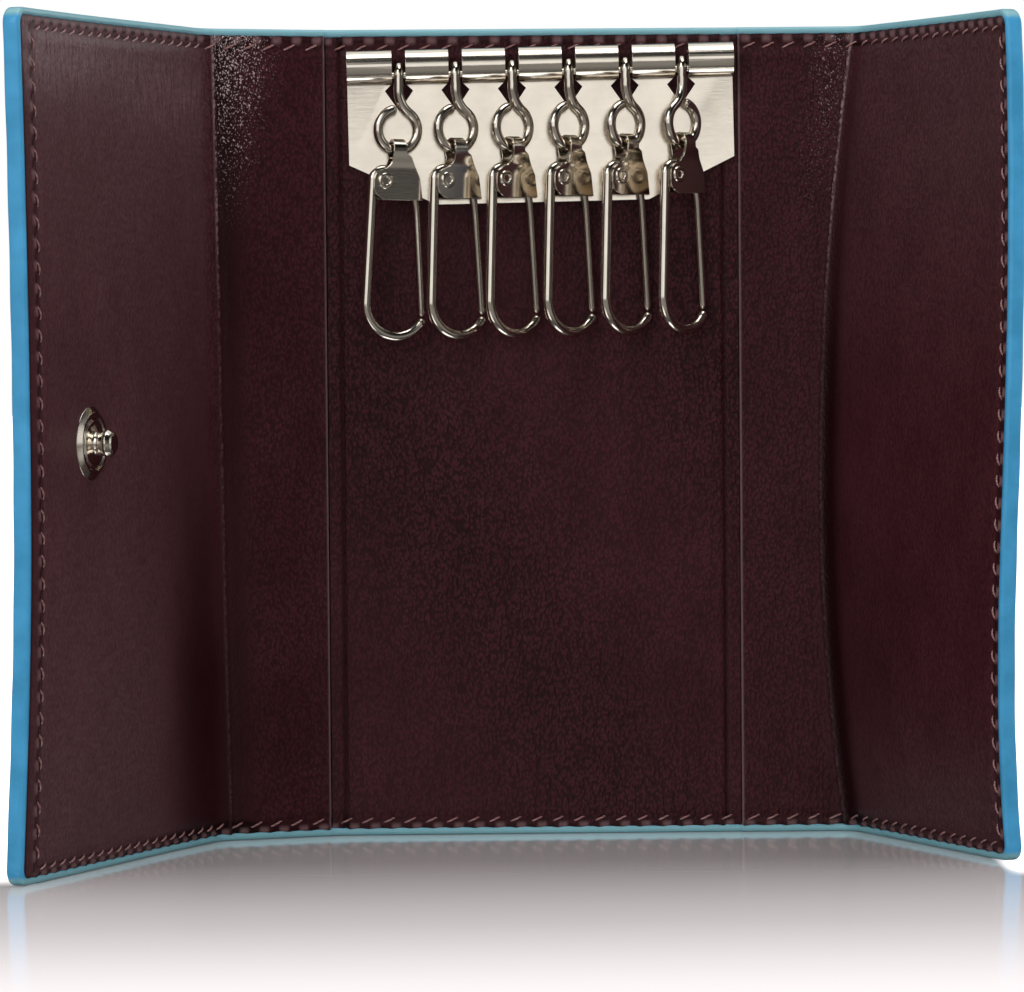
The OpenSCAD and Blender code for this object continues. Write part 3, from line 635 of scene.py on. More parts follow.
def grain_group(name):
    """Pebble grain: rounded cells with sunk borders, broken up by finer pores. Height 0 to 1 and a slow mottle."""
    group, g, start, end = new_group(name, "Cells per metre", 1900.0, ("Height", "Mottle"))
    place = g.moved(start["Coordinates"], (1, 1, 0.62))
    warp = g.add("TexNoise", {"Vector": place, "Scale": 900.0, "Detail": 2.0}).outputs["Color"]
    shift = g.add("VectorMath", {0: warp, 1: (0.0006, 0.0006, 0.0006)}, operation="MULTIPLY").outputs[0]
    warped = g.add("VectorMath", {0: place, 1: shift}, operation="ADD").outputs[0]
    cells = g.add("TexVoronoi", {"Vector": warped, "Scale": start["Cells per metre"], "Smoothness": 0.35},
                  feature="SMOOTH_F1").outputs["Distance"]
    dome = g.minus(1.0, g.math("POWER", cells, 1.6), True)
    pores = g.noise(place, 5200.0, 3.0, 0.6)
    g.feed(end["Height"], g.plus(g.times(dome, 0.75), g.times(pores, 0.35)))
    g.feed(end["Mottle"], g.noise(place, 120.0, 5.0, 0.62))
    return group


def rub_group(name):
    """Fine handling marks for metal and paint: short scratches and clouded patches, 0 to 1."""
    group, g, start, end = new_group(name, "Scale", 300.0, ("Scratches", "Clouds"))
    g.feed(end["Scratches"], g.noise(
        g.moved(start["Coordinates"], (1, 0.6, 7), (0, 0.4, 0.3)), start["Scale"], 6.0, 0.7))
    g.feed(end["Clouds"], g.noise(start["Coordinates"], 260.0, 4.0))
    return group


def leather_material(name, colour, light, height, cells=2700.0, coat=0.0, rough=0.30):
    """Grained leather: a slow mottle, then a painted sheen where the flaps catch the light, darker grain valleys,
    painted shade in the grooves and the creases, painted highlights on the ribs between the stitches and the border,
    painted glints on the pebbles and painted highlight lines on the crease's ridge, the lip and a faint crease, each
    where its mask says so."""
    material, g = new_material(name)
    pebble, mottle = g.group("Pebble grain", grain_group, "Cells per metre", cells)
    masks = {key: g.add("Attribute", attribute_name=key).outputs["Fac"] for key in MASKS}
    where = g.place()
    level = g.add("SeparateXYZ", {0: where}).outputs["Z"]
    flat = g.add("CombineXYZ", {0: masks["across"], 1: level}).outputs[0]
    base = g.mix(g.span(mottle, 0.34, 0.72), colour, light)

    # Painted sheen: the flaps turn lighter where they catch the light, streaked in a fan at the left flap's top
    # corner.
    streaks = g.noise(g.moved(flat, (2100, 300, 1), (0, 0, 0.35)), 1.0, 3.0)
    wrinkles = g.noise(g.moved(flat, (260, 1500, 1)), 1.0, 4.0)
    sheen_share = g.plus(g.times(masks["sheen"], g.span(wrinkles, 0.3, 0.7, 0.78, 1.15)),
                  g.times(masks["fan"], g.span(streaks, 0.35, 0.65, 0.1, 1.1)), True)
    base = g.mix(sheen_share, base, (0.225, 0.130, 0.140))

    # Painted shade: grooves, creases, the border's gap and the hollows between the stitch ribs turn dark; the
    # grain's valleys darken too.
    valley = g.times(g.span(pebble, 0.58, 0.92, 1.0, 0.0), masks["grain"], True)
    ribs = g.span(g.math("SINE", g.times(masks["run"], 2 * math.pi / (STITCH_PITCH * MM))), -0.2, 0.8)
    band = g.times(g.span(masks["seam"], 0.0002, 0.0007), g.span(masks["seam"], 0.0009, 0.0018, 1.0, 0.0))
    sunk = g.larger(g.larger(g.times(valley, 0.85), masks["groove"]), g.times(band, g.minus(0.75, ribs, True)))
    base = g.mix(sunk, base, [c * 0.2 for c in colour])
    # Painted highlight on the ribs between the stitches and the border.
    base = g.mix(g.times(g.times(band, ribs), 0.6), base, (0.26, 0.15, 0.155))

    # Painted glints: small bright pebbles beside the crease.
    points = g.plus(g.noise(g.moved(where, (1, 1, 0.75)), 4600.0, 2.0), g.times(masks["spark"], 0.10))
    glint = g.times(g.span(points, 0.62, 0.74), g.times(masks["spark"], 2.5, True), True)
    base = g.mix(glint, base, (0.60, 0.45, 0.45))

    # Painted highlight lines: a thin line on the crease's ridge, stronger towards the head, and the lines on the lip
    # and the faint crease.
    away = g.math("ABSOLUTE", g.plus(masks["ridge"], g.times(g.minus(pebble, 0.8), 0.0004)))
    line = g.times(g.span(away, 0.00008, 0.00028, 1.0, 0.0), g.span(level, 0.070, 0.096, 0.15, 1.0))
    line = g.times(line, g.span(pebble, 0.62, 0.85, 0.3, 1.0))
    base = g.mix(g.larger(line, masks["highlight_lines"]), base, (0.30, 0.20, 0.215))

    g.finish("OutputMaterial", g.add("BsdfPrincipled", {
        "Base Color": base, "Roughness": g.plus(rough, g.times(mottle, 0.14)),
        "Normal": g.bump(g.times(pebble, masks["grain"]), 1.0, height),
        "Specular IOR Level": 0.12, "Coat Weight": coat, "Coat Roughness": 0.3}))
    return material


def paint_material(name, colour, rim_highlight_colour):
    """Edge paint, clouded and slightly uneven, and paler at the head and the foot: a painted highlight there."""
    material, g = new_material(name)
    scratches, clouds = g.group("Handling marks", rub_group, "Scale", 180.0)
    level = g.add("SeparateXYZ", {0: g.place()}).outputs["Z"]
    from_middle = g.math("ABSOLUTE", g.minus(level, HEIGHT / 2 * MM))
    base = g.mix(g.span(clouds, 0.35, 0.65), [c * 0.9 for c in colour], [min(1, c * 1.08 + 0.01) for c in colour])
    # Painted highlight: the edge paint turns paler towards the head and the foot.
    base = g.mix(g.span(from_middle, (HEIGHT / 2 - 1.3) * MM, (HEIGHT / 2 - 0.7) * MM), base, rim_highlight_colour)
    g.finish("OutputMaterial", g.add("BsdfPrincipled", {
        "Base Color": base, "Roughness": g.plus(0.27, g.times(scratches, 0.2)),
        "Normal": g.bump(g.plus(clouds, g.times(scratches, 0.3)), 1.0, 0.00006),
        "Specular IOR Level": 0.25, "Coat Weight": 0.3, "Coat Roughness": 0.1}))
    return material


def thread_material(name, colour):
    """Sewing thread with slanted plies."""
    material, g = new_material(name)
    plies = g.add("TexWave", {"Vector": g.moved(g.place(), (1, 1, 1), (0, 0.7, 0)), "Scale": 900.0,
                              "Distortion": 1.0}, bands_direction="DIAGONAL").outputs["Fac"]
    g.finish("OutputMaterial", g.add("BsdfPrincipled", {
        "Base Color": g.mix(plies, colour, [min(1, c * 1.9) for c in colour]), "Roughness": 0.32,
        "Normal": g.bump(plies, 0.8, 0.00005), "Specular IOR Level": 0.9}))
    return material


def metal_material(name, colour, rough, marks_scale, dark):
    """Plated metal with clouded patches and fine scratches."""
    material, g = new_material(name)
    scratches, clouds = g.group("Handling marks", rub_group, "Scale", marks_scale)
    g.finish("OutputMaterial", g.add("BsdfPrincipled", {
        "Base Color": g.mix(g.span(clouds, 0.30, 0.62), [c * dark for c in colour], colour), "Metallic": 1.0,
        "Roughness": g.plus(rough - 0.05, g.times(scratches, 0.12)), "Normal": g.bump(scratches, 0.5, 0.000012)}))
    return material


def materials():
    leather, metal, _ = settings()
    nickel, grain = metal.nickel_colour, leather.grain_height
    wanted = {
        "lining": ("Lining leather", leather_material, leather.lining_colour, leather.lining_light, grain),
        "outer": ("Outer leather", leather_material, leather.outer_colour, leather.lining_light, grain, 1100.0,
                  0.2),
        "board": ("Bonded board", leather_material, (0.35, 0.25, 0.16), (0.45, 0.34, 0.22), 0.00003, 2700.0, 0.0,
                  0.75),
        "paint": ("Edge paint", paint_material, leather.edge_colour, leather.rim_highlight_colour),
        "thread": ("Sewing thread", thread_material, leather.thread_colour),
        "plate": ("Plated sheet", metal_material, nickel, metal.roughness, 260.0, 0.9),
        "wire": ("Plated wire", metal_material, nickel, metal.roughness * 0.8, 420.0, 0.86),
        "snap": ("Plated snap", metal_material, nickel, metal.roughness, 380.0, 0.86),
    }
    return {key: kept(bpy.data.materials, *values) for key, values in wanted.items()}


# ---------------------------------------------------------------- leather pieces
def side_stations(side, a, b, step=0.8):
    """Places across the leather from a to b: fine at the crease and at the free border, else coarse."""
    crease, end = side["crease_s"], side["end"] - EDGE_W
    stops = [a, crease - 4.5, crease + 3.5, end - 5.5, end - 1.4, end]
    sizes = [step, 0.3, step, 0.45, 0.16]
    pairs = [(p, q, d) for p, q, d in zip(stops, stops[1:], sizes) if q > a and p < b]
    return steps_along([max(pairs[0][0], a)] + [min(q, b) for _, q, _ in pairs], [d for _, _, d in pairs])


def bind(obj, side_name, part):
    """Bake a strip of leather's place into its mesh. The zone over the lip's fold or the flap's crease, the two
    bodies on either side and the zone's ends are looked up but not used.
    """
    zone, first, second = {"lip": ("zone1", "back", side_name + "_spine"),
                           "crease": ("zone2", side_name + "_spine", side_name + "_flap")}[part]
    side = SIDES[side_name]
    start, end = leather_point(side, np.array(side[zone]), HEIGHT / 2, 0.0) * MM
    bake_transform(obj)


def side_pieces(side_name, mats):
    """One side's lining, from the lip over spine and flap, its outer leather in a strip round the lip's fold and
    the rest, and the flap's board."""
    side = SIDES[side_name]
    border = side["end"] - EDGE_W
    s = np.concatenate([steps_along([HALF_BACK, HALF_BACK + 1.2], [0.12])[:-1],
                        side_stations(side, HALF_BACK + 1.2, border)])
    lining = leather_sheet(side_name + "_lining_leather", side, s, 150, 0.0, LINING_T - LAYER_GAP, mats["lining"],
                           lining_relief, lining_masks)
    fitted(lining, [side_name + "_spine_lining", side_name + "_flap_lining"])
    bind(lining, side_name, "crease")
    lip = leather_sheet(side_name + "_fold_leather", side, steps_along([20.0, side["split"]], [0.5]), 90,
                        cover_depth(side), PANEL_T, mats["outer"], corners=False)
    fitted(lip, [side_name + "_spine_outer"])
    bind(lip, side_name, "lip")
    flap = leather_sheet(side_name + "_flap_leather", side, side_stations(side, side["split"], border, 1.0), 110,
                         cover_depth(side), PANEL_T, mats["outer"])
    fitted(flap, [side_name + "_flap_outer"])
    bind(flap, side_name, "crease")
    board_s = np.linspace(side["zone2"][1] + 0.5, side["end"] - BOARD_BORDER, 24)
    board = leather_sheet(side_name + "_flap_stiffener", side, board_s, 30, LINING_T + LAYER_GAP,
                          BOARD_END_T - LAYER_GAP, mats["board"], corners=False, border=BOARD_BORDER)
    fitted(board, [side_name + "_flap_board"], side_name + "_flap")


def back_sheet(name, x, rows, t_in, t_out, material, face=None, masks=None, border=EDGE_W):
    """A flat layer of the back panel over the places x."""
    z = border + np.linspace(0, 1, rows) * (HEIGHT - 2 * border)
    xx, zz = np.meshgrid(x, z, indexing="ij")
    lift = face(xx, zz) if face else np.zeros(xx.shape)
    inner = np.stack([xx, FACE_Y + t_in - lift, zz], -1)
    outer = np.stack([xx, np.full(xx.shape, FACE_Y + t_out), zz], -1)
    return sheet(name, inner, outer, masks and masks(xx, zz), material)


def back_seam(z):
    """Distance from the back's stitched lines, positive towards the border."""
    return np.maximum(z - (HEIGHT - STITCH_TOP), STITCH_FOOT - z)


def back_relief(x, z):
    """The back lining's face: a pressed line inside each lip, the pull of the stitches and a soft middle."""
    out = pulled(back_seam(z), x)
    out -= 0.20 * gauss(np.abs(x) - CREASED_LINE, 0.3)
    out -= 0.20 * np.clip(1 - (np.minimum(z, HEIGHT - z) - EDGE_W) / 0.5, 0, 1) ** 2
    out += 0.05 * np.sin(z / 17 + x / 23) * np.clip((CREASED_LINE - 2 - np.abs(x)) / 6, 0, 1)
    return out


def back_masks(x, z):
    d = back_seam(z)
    grain = 0.8 + 0.15 * np.sin(x / 8 + z / 14)
    # Painted shade along the stitched lines, in the pressed line inside each lip and in the gap at the border.
    groove = 0.65 * gauss(d, 0.4) + 0.9 * gauss(np.abs(x) - CREASED_LINE, 0.35)
    groove = groove + 0.95 * gauss(np.maximum(np.minimum(z, HEIGHT - z) - EDGE_W, 0), 0.5)
    none = np.zeros(x.shape)
    return grain, groove, none, none, none, none, none - 0.009, d * MM, x * MM, x * MM


def back_pieces(mats):
    """The back panel's lining between the lips, its board and the middle of the outer leather."""
    edge = np.linspace(24.2, 27.5, 24)
    x = np.concatenate([-edge[::-1], np.linspace(-24.2, 24.2, 62)[1:-1], edge])
    lining = back_sheet("back_lining_leather", x, 190, LIP_STEP, LINING_T - LAYER_GAP, mats["lining"],
                        back_relief, back_masks)
    fitted(lining, ["back_lining"], "back")
    board = back_sheet("back_stiffener", np.linspace(-23.0, 23.0, 60), 30, LINING_T + LAYER_GAP,
                       BOARD_END_T - LAYER_GAP, mats["board"], border=BOARD_BORDER)
    fitted(board, ["back_board"], "back")
    cover = back_sheet("back_leather", np.linspace(-20.0, 20.0, 60), 90, BOARD_END_T + LAYER_GAP, PANEL_T,
                       mats["outer"])
    fitted(cover, ["back_outer"], "back")


def edge_section(step):
    """Closed section of the painted edge: (out, depth) pairs with two rounded outer corners. Its face lies lower
    by the given step."""
    start, end = step - EDGE_PROUD, PANEL_T + EDGE_PROUD
    a = np.linspace(-math.pi / 2, 0, 5)
    low = np.stack([EDGE_W - EDGE_R + EDGE_R * np.cos(a), start + EDGE_R + EDGE_R * np.sin(a)], -1)
    high = np.stack([EDGE_W - EDGE_R + EDGE_R * np.cos(a + math.pi / 2),
                     end - EDGE_R + EDGE_R * np.sin(a + math.pi / 2)], -1)
    inside = np.array([[-0.22, end], [-0.30, (start + end) / 2], [-0.22, start + 0.3], [-0.02, start + 0.06]])
    return np.concatenate([low, high, inside])


def edge_piece(name, side, path, normals, section, material):
    """The section carried along a flat path (s, z) whose outward directions are `normals`, then folded with
    the leather. Flat fans close its two ends."""
    s = path[:, None, 0] + section[None, :, 0] * normals[:, None, 0]
    z = path[:, None, 1] + section[None, :, 0] * normals[:, None, 1]
    uneven = 0.03 * np.sin(path[:, 0] * 0.9 + path[:, 1] * 0.5)[:, None] * (section[None, :, 0] > 0.3)
    verts = leather_point(side, s, z, section[None, :, 1] + uneven)
    points = np.concatenate([verts.reshape(-1, 3), verts[[0, -1]].mean(1)])
    return fitted(make_piece(name, points, capped_faces(len(path), len(section)), material))


def flap_path(side):
    """Border of a flap's leather from its split along the head, round the corner, down the free side and back
    along the foot: straight runs and quarter circles, with the outward direction at each point."""
    end, top, foot = side["end"] - EDGE_W - CORNER_R, HEIGHT - EDGE_W - CORNER_R, EDGE_W + CORNER_R
    run = side_stations(side, side["split"], end, 1.0)
    down = np.linspace(top, foot, 120)[1:-1]
    turn = np.linspace(math.pi / 2, 0, 8)

    def part(s, z, across, up):
        return np.stack(np.broadcast_arrays(s, z, across, up), -1)

    whole = np.concatenate([
        part(run, top, 0, 1)[:-1], part(end, top, np.cos(turn), np.sin(turn)), part(end, down, 1, 0),
        part(end, foot, np.cos(-turn[::-1]), np.sin(-turn[::-1])), part(run[::-1], foot, 0, -1)[1:]])
    return whole[:, :2] + whole[:, 2:] * CORNER_R, whole[:, 2:]


def painted_edges(mats):
    """Painted edges of flaps, spines and back: the same rounded section everywhere."""
    for side_name, side in SIDES.items():
        obj = edge_piece(side_name + "_flap_painted_edge", side, *flap_path(side), edge_section(0.0), mats["paint"])
        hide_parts(side_name + "_flap_edge", side_name + "_spine_edge")
        bind(obj, side_name, "crease")
        for label, z, way in (("head", HEIGHT - EDGE_W, 1.0), ("foot", EDGE_W, -1.0)):
            for part, first, last, size, step in (
                    ("spine", HALF_BACK, side["split"], 0.4, 0.0), ("back", 0.0, HALF_BACK, 0.8, LIP_STEP)):
                run = steps_along([first, last], [size])
                path = np.stack([run, np.full_like(run, z)], -1)
                strip = edge_piece(f"{side_name}_{part}_painted_{label}", side, path,
                                   np.tile([[0.0, way]], (len(run), 1)), edge_section(step), mats["paint"])
                if (side_name, part, label) == ("left", "back", "head"):
                    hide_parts("back_edge")
                bind(strip, side_name, "lip")


def stitch_row(side, starts, headings, depth, length, radius):
    """Stitches as one mesh: each is a spindle of six sides that dips into the leather at both ends. Point k of a
    stitch goes a = L x along its heading and b = r w(x) cos(v) across, at the height r w(x) sin(v) + arch(x)."""
    x = np.array([-0.5, -0.40, -0.2, 0.0, 0.2, 0.40, 0.5])
    w = np.array([0.25, 0.75, 0.95, 1.0, 0.95, 0.75, 0.25])
    arch = np.array([-0.34, -0.12, 0.05, 0.10, 0.05, -0.12, -0.34])
    v = np.linspace(0, 2 * math.pi, 6, endpoint=False)
    slant = math.radians(24) * (side["sign"] if side else 1)
    a = length * x[:, None] + 0 * v
    b = radius * w[:, None] * np.cos(v)
    c = radius * w[:, None] * np.sin(v) + arch[:, None]
    a, b = a * math.cos(slant) - b * math.sin(slant), a * math.sin(slant) + b * math.cos(slant)
    heading = headings[:, None, None, :]
    side_way = np.stack([-heading[..., 1], heading[..., 0]], -1)
    flat = starts[:, None, None, :] + a[None, ..., None] * heading + b[None, ..., None] * side_way
    t = depth - c[None] + 0 * flat[..., 0]
    if side is None:
        verts = np.stack([flat[..., 0], FACE_Y + t, flat[..., 1]], -1)
    else:
        verts = leather_point(side, flat[..., 0], flat[..., 1], t)
    count, rows, sides = verts.shape[:3]
    end = (rows - 1) * sides
    caps = [[0, 1, 2, 3], [0, 3, 4, 5], [end + 3, end + 2, end + 1, end], [end + 5, end + 4, end + 3, end]]
    body = np.concatenate([grid_faces(rows, sides, wrap_cols=True), caps])
    return verts.reshape(-1, 3), (np.arange(count)[:, None, None] * rows * sides + body).reshape(-1, 4)


def places_between(a, b):
    """Middles of equal steps of about one stitch's pitch."""
    count = max(1, int(round(abs(b - a) / STITCH_PITCH)))
    return a + (np.arange(count) + 0.5) * (b - a) / count


def straight_stitches(a, b):
    """Starts and headings of the stitches from a to b at the head and at the foot."""
    s = places_between(a, b)
    starts = np.concatenate([np.stack([s, np.full(len(s), z)], -1) for z in STITCH_HEIGHTS])
    return starts, np.tile([[1.0, 0.0]], (len(starts), 1))


def sewn(name, side, rows, depth, mats):
    """Rows of stitches as one piece."""
    leather = settings()[0]
    starts, ways = (np.concatenate(p) for p in zip(*rows))
    verts, quads = stitch_row(side, starts, ways, depth, leather.stitch_length / MM, leather.thread_radius / MM)
    return fitted(make_piece(name, verts, [quads], mats["thread"]))


def stitching(mats):
    """Rows of stitches at the head and the foot of every panel and along the flaps' free sides."""
    for side_name, side in SIDES.items():
        far = side["end"] - side["inset"]
        z = places_between(STITCH_FOOT + 0.5, HEIGHT - STITCH_TOP - 0.5)
        down = (np.stack([np.full(len(z), far), z], -1), np.tile([[0.0, 1.0]], (len(z), 1)))
        flap = sewn(side_name + "_flap_stitches", side, [straight_stitches(side["split"], far - 0.4), down], 0.02,
                    mats)
        bind(flap, side_name, "crease")
        spine = sewn(side_name + "_spine_stitches", side, [straight_stitches(HALF_BACK + 0.3, side["split"])], 0.02,
                     mats)
        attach(spine, side_name + "_spine")
    back = sewn("back_stitches", None, [straight_stitches(-HALF_BACK + 0.6, HALF_BACK - 0.6)], LIP_STEP + 0.08,
                mats)
    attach(back, "back")


# ---------------------------------------------------------------- hardware
def hook_frames(i):
    """Pin place, and origin and turn of the clip of hook i, as in the frame: the clip hangs under the ring."""
    x = (i - (HOOK_COUNT + 1) / 2) * HOOK_PITCH
    c, s = math.cos(PLATE_TILT), math.sin(PLATE_TILT)
    pin = np.array([PLATE_X + x * c + PIN_DROP * s, BARREL_Y - PIN_OUT, BARREL_Z + x * s - PIN_DROP * c])
    a, p = math.radians(HOOK_ROLLS[i - 1]), math.radians(HOOK_YAWS[i - 1])
    roll = np.array([[math.cos(a), 0, math.sin(a)], [0, 1, 0], [-math.sin(a), 0, math.cos(a)]])
    yaw = np.array([[math.cos(p), -math.sin(p), 0], [math.sin(p), math.cos(p), 0], [0, 0, 1]])
    origin = pin + roll @ np.array([0, -EYE_R, -RING_DROP - RING_R])
    return pin, roll, origin, roll @ yaw


def placed(points, turn, origin):
    return np.asarray(points, float) @ np.asarray(turn).T + origin


def arc(middle, radius, start, end, steps):
    """Points (x, 0, z) of a circle's part from one angle to another."""
    a = np.linspace(start, end, steps)
    return np.stack([middle[0] + radius * np.cos(a), 0 * a, middle[1] + radius * np.sin(a)], -1)


def wire(name, path, radius, across, mats, replaced, body):
    """A plated wire along a path, as one piece."""
    verts, faces = tube(path, radius, across, settings()[1].wire_sides)
    fitted(make_piece(name, verts, faces, mats["wire"]), [replaced], body)


def swivel_eye(i, mats):
    """One wire that wraps over the pin, runs down as a neck and curls into a ring: arcs joined end to end."""
    pin, roll, origin, turn = hook_frames(i)
    a = np.linspace(math.radians(-75), math.radians(180), 40)
    eye = np.stack([0 * a, EYE_R * np.cos(a), EYE_R * np.sin(a)], -1)
    bend_r = RING_R * math.cos(RING_TURN) / (1 - math.cos(RING_TURN))
    bend_drop = RING_DROP - (RING_R + bend_r) * math.sin(RING_TURN)
    neck = np.stack([np.zeros(8), np.full(8, -EYE_R), np.linspace(0, -bend_drop, 9)[1:]], -1)
    bend = arc((bend_r, RING_DROP + RING_R - bend_drop), bend_r, math.pi, math.pi + RING_TURN, 14)[1:]
    ring = arc((0, RING_R), RING_R, RING_TURN, RING_END - 2 * math.pi, 90)[1:]
    curl = np.concatenate([bend, ring]) * [HOOK_BENDS[i - 1], 1, 1]
    path = np.concatenate([placed(np.concatenate([eye, neck]), roll, pin), placed(curl, turn, origin)])
    share = np.concatenate([np.zeros(len(eye)), np.linspace(0, 1, len(neck)), np.ones(len(curl))])[:, None]
    across = (1 - share) * np.array([1.0, 0, 0]) + share * turn[:, 1]
    wire(f"eye_wire_{i}", path, WIRE_R, across, mats, f"swivel_eye_{i}", f"eye_{i}")


def hook_wire(i, mats):
    """The hook: an eye round the rivet, a long leg that touches both circles and a bow that ends under the gate,
    as one planar wire. The leg and the bow are a little thicker than the eye."""
    _, _, origin, turn = hook_frames(i)
    run = (BOW_X - RIVET_X, BOW_Z + RIVET_DROP)
    normal = math.atan2(run[1], run[0]) - math.acos((HOOK_EYE_R - BOW_R) / math.hypot(*run))
    eye = arc((RIVET_X, -RIVET_DROP), HOOK_EYE_R, math.radians(-50), 2 * math.pi + normal, 50)
    bow = arc((BOW_X, BOW_Z), BOW_R, 2 * math.pi + normal, BOW_END, 44)
    leg = eye[-1] + (bow[0] - eye[-1]) * np.linspace(0, 1, 26)[1:-1, None]
    path = np.concatenate([eye, leg, bow])
    grow = np.clip((np.arange(len(path)) - len(eye)) / 5, 0, 1)
    wire(f"hook_wire_{i}.look", placed(path, turn, origin), HOOK_R + BOW_SWELL * grow, turn[:, 1], mats,
         f"hook_wire_{i}", f"clip_{i}")


def gate_wire(i, mats):
    """The gate: a thinner wire with a kink under the clip's body, whose tip rests over the bow's end."""
    _, _, origin, turn = hook_frames(i)
    pivot = np.array([CLIP_RIGHT - GATE_R - HOOK_R, 0, -RIVET_DROP - GATE_R])
    kink = np.array([CLIP_RIGHT - GATE_R, 0, -CLIP_DROP - 2 * GATE_R])
    bow_tip = np.array([BOW_X + BOW_R * math.cos(BOW_END), 0, BOW_Z + BOW_R * math.sin(BOW_END)])
    tip = bow_tip + np.array([0.05, 0, HOOK_R + GATE_R + GATE_REST])
    start = pivot + (kink - pivot) * 0.7
    after = kink + (tip - kink) * 0.07
    t = np.linspace(0, 1, 9)[:, None]
    bend = (1 - t) ** 2 * start + 2 * t * (1 - t) * kink + t ** 2 * after
    path = np.concatenate([pivot + (start - pivot) * np.linspace(0, 1, 6)[:-1, None], bend,
                           after + (tip - after) * np.linspace(0, 1, 20)[1:, None]])
    wire(f"gate_wire_{i}.look", placed(path, turn, origin), GATE_R, turn[:, 1], mats, f"gate_wire_{i}", f"gate_{i}")


def clip_half_widths(z):
    """Reach of the clip's plate to the left and the right of its middle at the height z under the ring's wire.
    Left: the neck, a hollow arc, the round bulge of the rivet and a round corner, each as c -+ sqrt(r^2 - dz^2).
    Right: straight runs from the neck over shoulder and hip to the foot."""
    def half_chord(radius, rise):
        return np.sqrt(np.maximum(radius ** 2 - rise ** 2, 0))

    bulge = CLIP_LEFT + RIVET_X
    hollow_x = -NECK_W / 2 - bulge
    hollow_z = math.sqrt(4 * bulge ** 2 - (hollow_x - RIVET_X) ** 2) - RIVET_DROP
    low = np.clip(CLIP_CORNER_R - CLIP_DROP - z, 0, CLIP_CORNER_R)
    left = np.select(
        [z > hollow_z, z > (hollow_z - RIVET_DROP) / 2, z > -RIVET_DROP],
        [np.full_like(z, -NECK_W / 2), hollow_x + half_chord(bulge, z - hollow_z),
         RIVET_X - half_chord(bulge, z + RIVET_DROP)],
        CLIP_CORNER_R - CLIP_LEFT - half_chord(CLIP_CORNER_R, low))
    right = np.interp(z, [-CLIP_DROP, -CLIP_DROP * 0.55, -STRAP_T - 0.4, -STRAP_T - 0.05],
                      [CLIP_RIGHT, CLIP_RIGHT * 0.88, CLIP_RIGHT * 0.47, NECK_W / 2])
    return -left, right


def clip_body(i, mats):
    """The clip's body: one strap that goes up as the front plate, over the ring's wire and down as the back plate.
    Its middle line is a path in the side plane, and the grid spans it from edge to edge."""
    _, _, origin, turn = hook_frames(i)
    half_gap = HOOK_R + STRAP_PLAY + STRAP_T / 2
    loop = STRAP_LOOP_R + STRAP_T / 2
    taper = -2 * STRAP_LOOP_R
    plate = np.concatenate([np.linspace(-CLIP_DROP, -CLIP_DROP + 0.5, 8)[:-1],
                            np.linspace(-CLIP_DROP + 0.5, taper, 24)])
    rise = np.linspace(taper, 0, 16)[1:]
    ease = (rise - taper) / -taper
    ease = ease * ease * (3 - 2 * ease)
    front = np.stack([np.concatenate([np.full(len(plate), -half_gap), -half_gap - (loop - half_gap) * ease]),
                      np.concatenate([plate, rise])], -1)
    a = np.linspace(math.pi, 0, 22)[1:-1]
    line = np.concatenate([front, np.stack([loop * np.cos(a), loop * np.sin(a)], -1), front[::-1] * [-1, 1]])
    tangent = np.gradient(line, axis=0)
    tangent /= np.linalg.norm(tangent, axis=1)[:, None]
    normal = np.stack([-tangent[:, 1], tangent[:, 0]], -1)
    z = line[:, 1]
    trim = LOOP_TRIM * np.clip(z / STRAP_LOOP_R, 0, 1)
    left, right = (reach - trim for reach in clip_half_widths(np.minimum(z, 0)))
    x = -left[:, None] + (left + right)[:, None] * np.linspace(0, 1, 13)[None, :]

    def face(k):
        p = line[:, None, :] + normal[:, None, :] * k + 0 * x[..., None]
        return placed(np.stack([x, p[..., 0], p[..., 1]], -1), turn, origin)

    verts, quads = slab(face(STRAP_T / 2), face(-STRAP_T / 2))
    obj = make_piece(f"clip_strap_{i}", verts, [quads], mats["wire"])
    round_edges(obj, STRAP_BEVEL, 3, SHARP_ANGLE)
    fitted(obj, [f"clip_body_{i}"], f"clip_{i}")


def clip_rivet(i, mats):
    """The tubular rivet: a closed profile with a rolled head at each end, turned about its axis."""
    _, _, origin, turn = hook_frames(i)
    out = HOOK_R + STRAP_PLAY + STRAP_T
    bore = RIVET_R * 0.55
    curve = np.linspace(0, math.pi, 11)
    top = np.stack([(RIVET_HEAD_R + bore) / 2 + (RIVET_HEAD_R - bore) / 2 * np.cos(curve),
                    out + 0.02 + 0.26 * np.sin(curve)], -1)
    profile = np.concatenate([[[RIVET_R, -out], [RIVET_R, out]], top, top[::-1] * [1, -1]])
    verts = turned(profile, 32)
    verts = np.stack([verts[:, 0] + RIVET_X, verts[:, 2], verts[:, 1] - RIVET_DROP], -1)
    faces = grid_faces(len(profile), 32, wrap_rows=True, wrap_cols=True)
    obj = make_piece(f"clip_rivet_{i}.look", placed(verts, turn, origin), [faces], mats["wire"])
    fitted(obj, [f"clip_rivet_{i}"], f"clip_{i}")


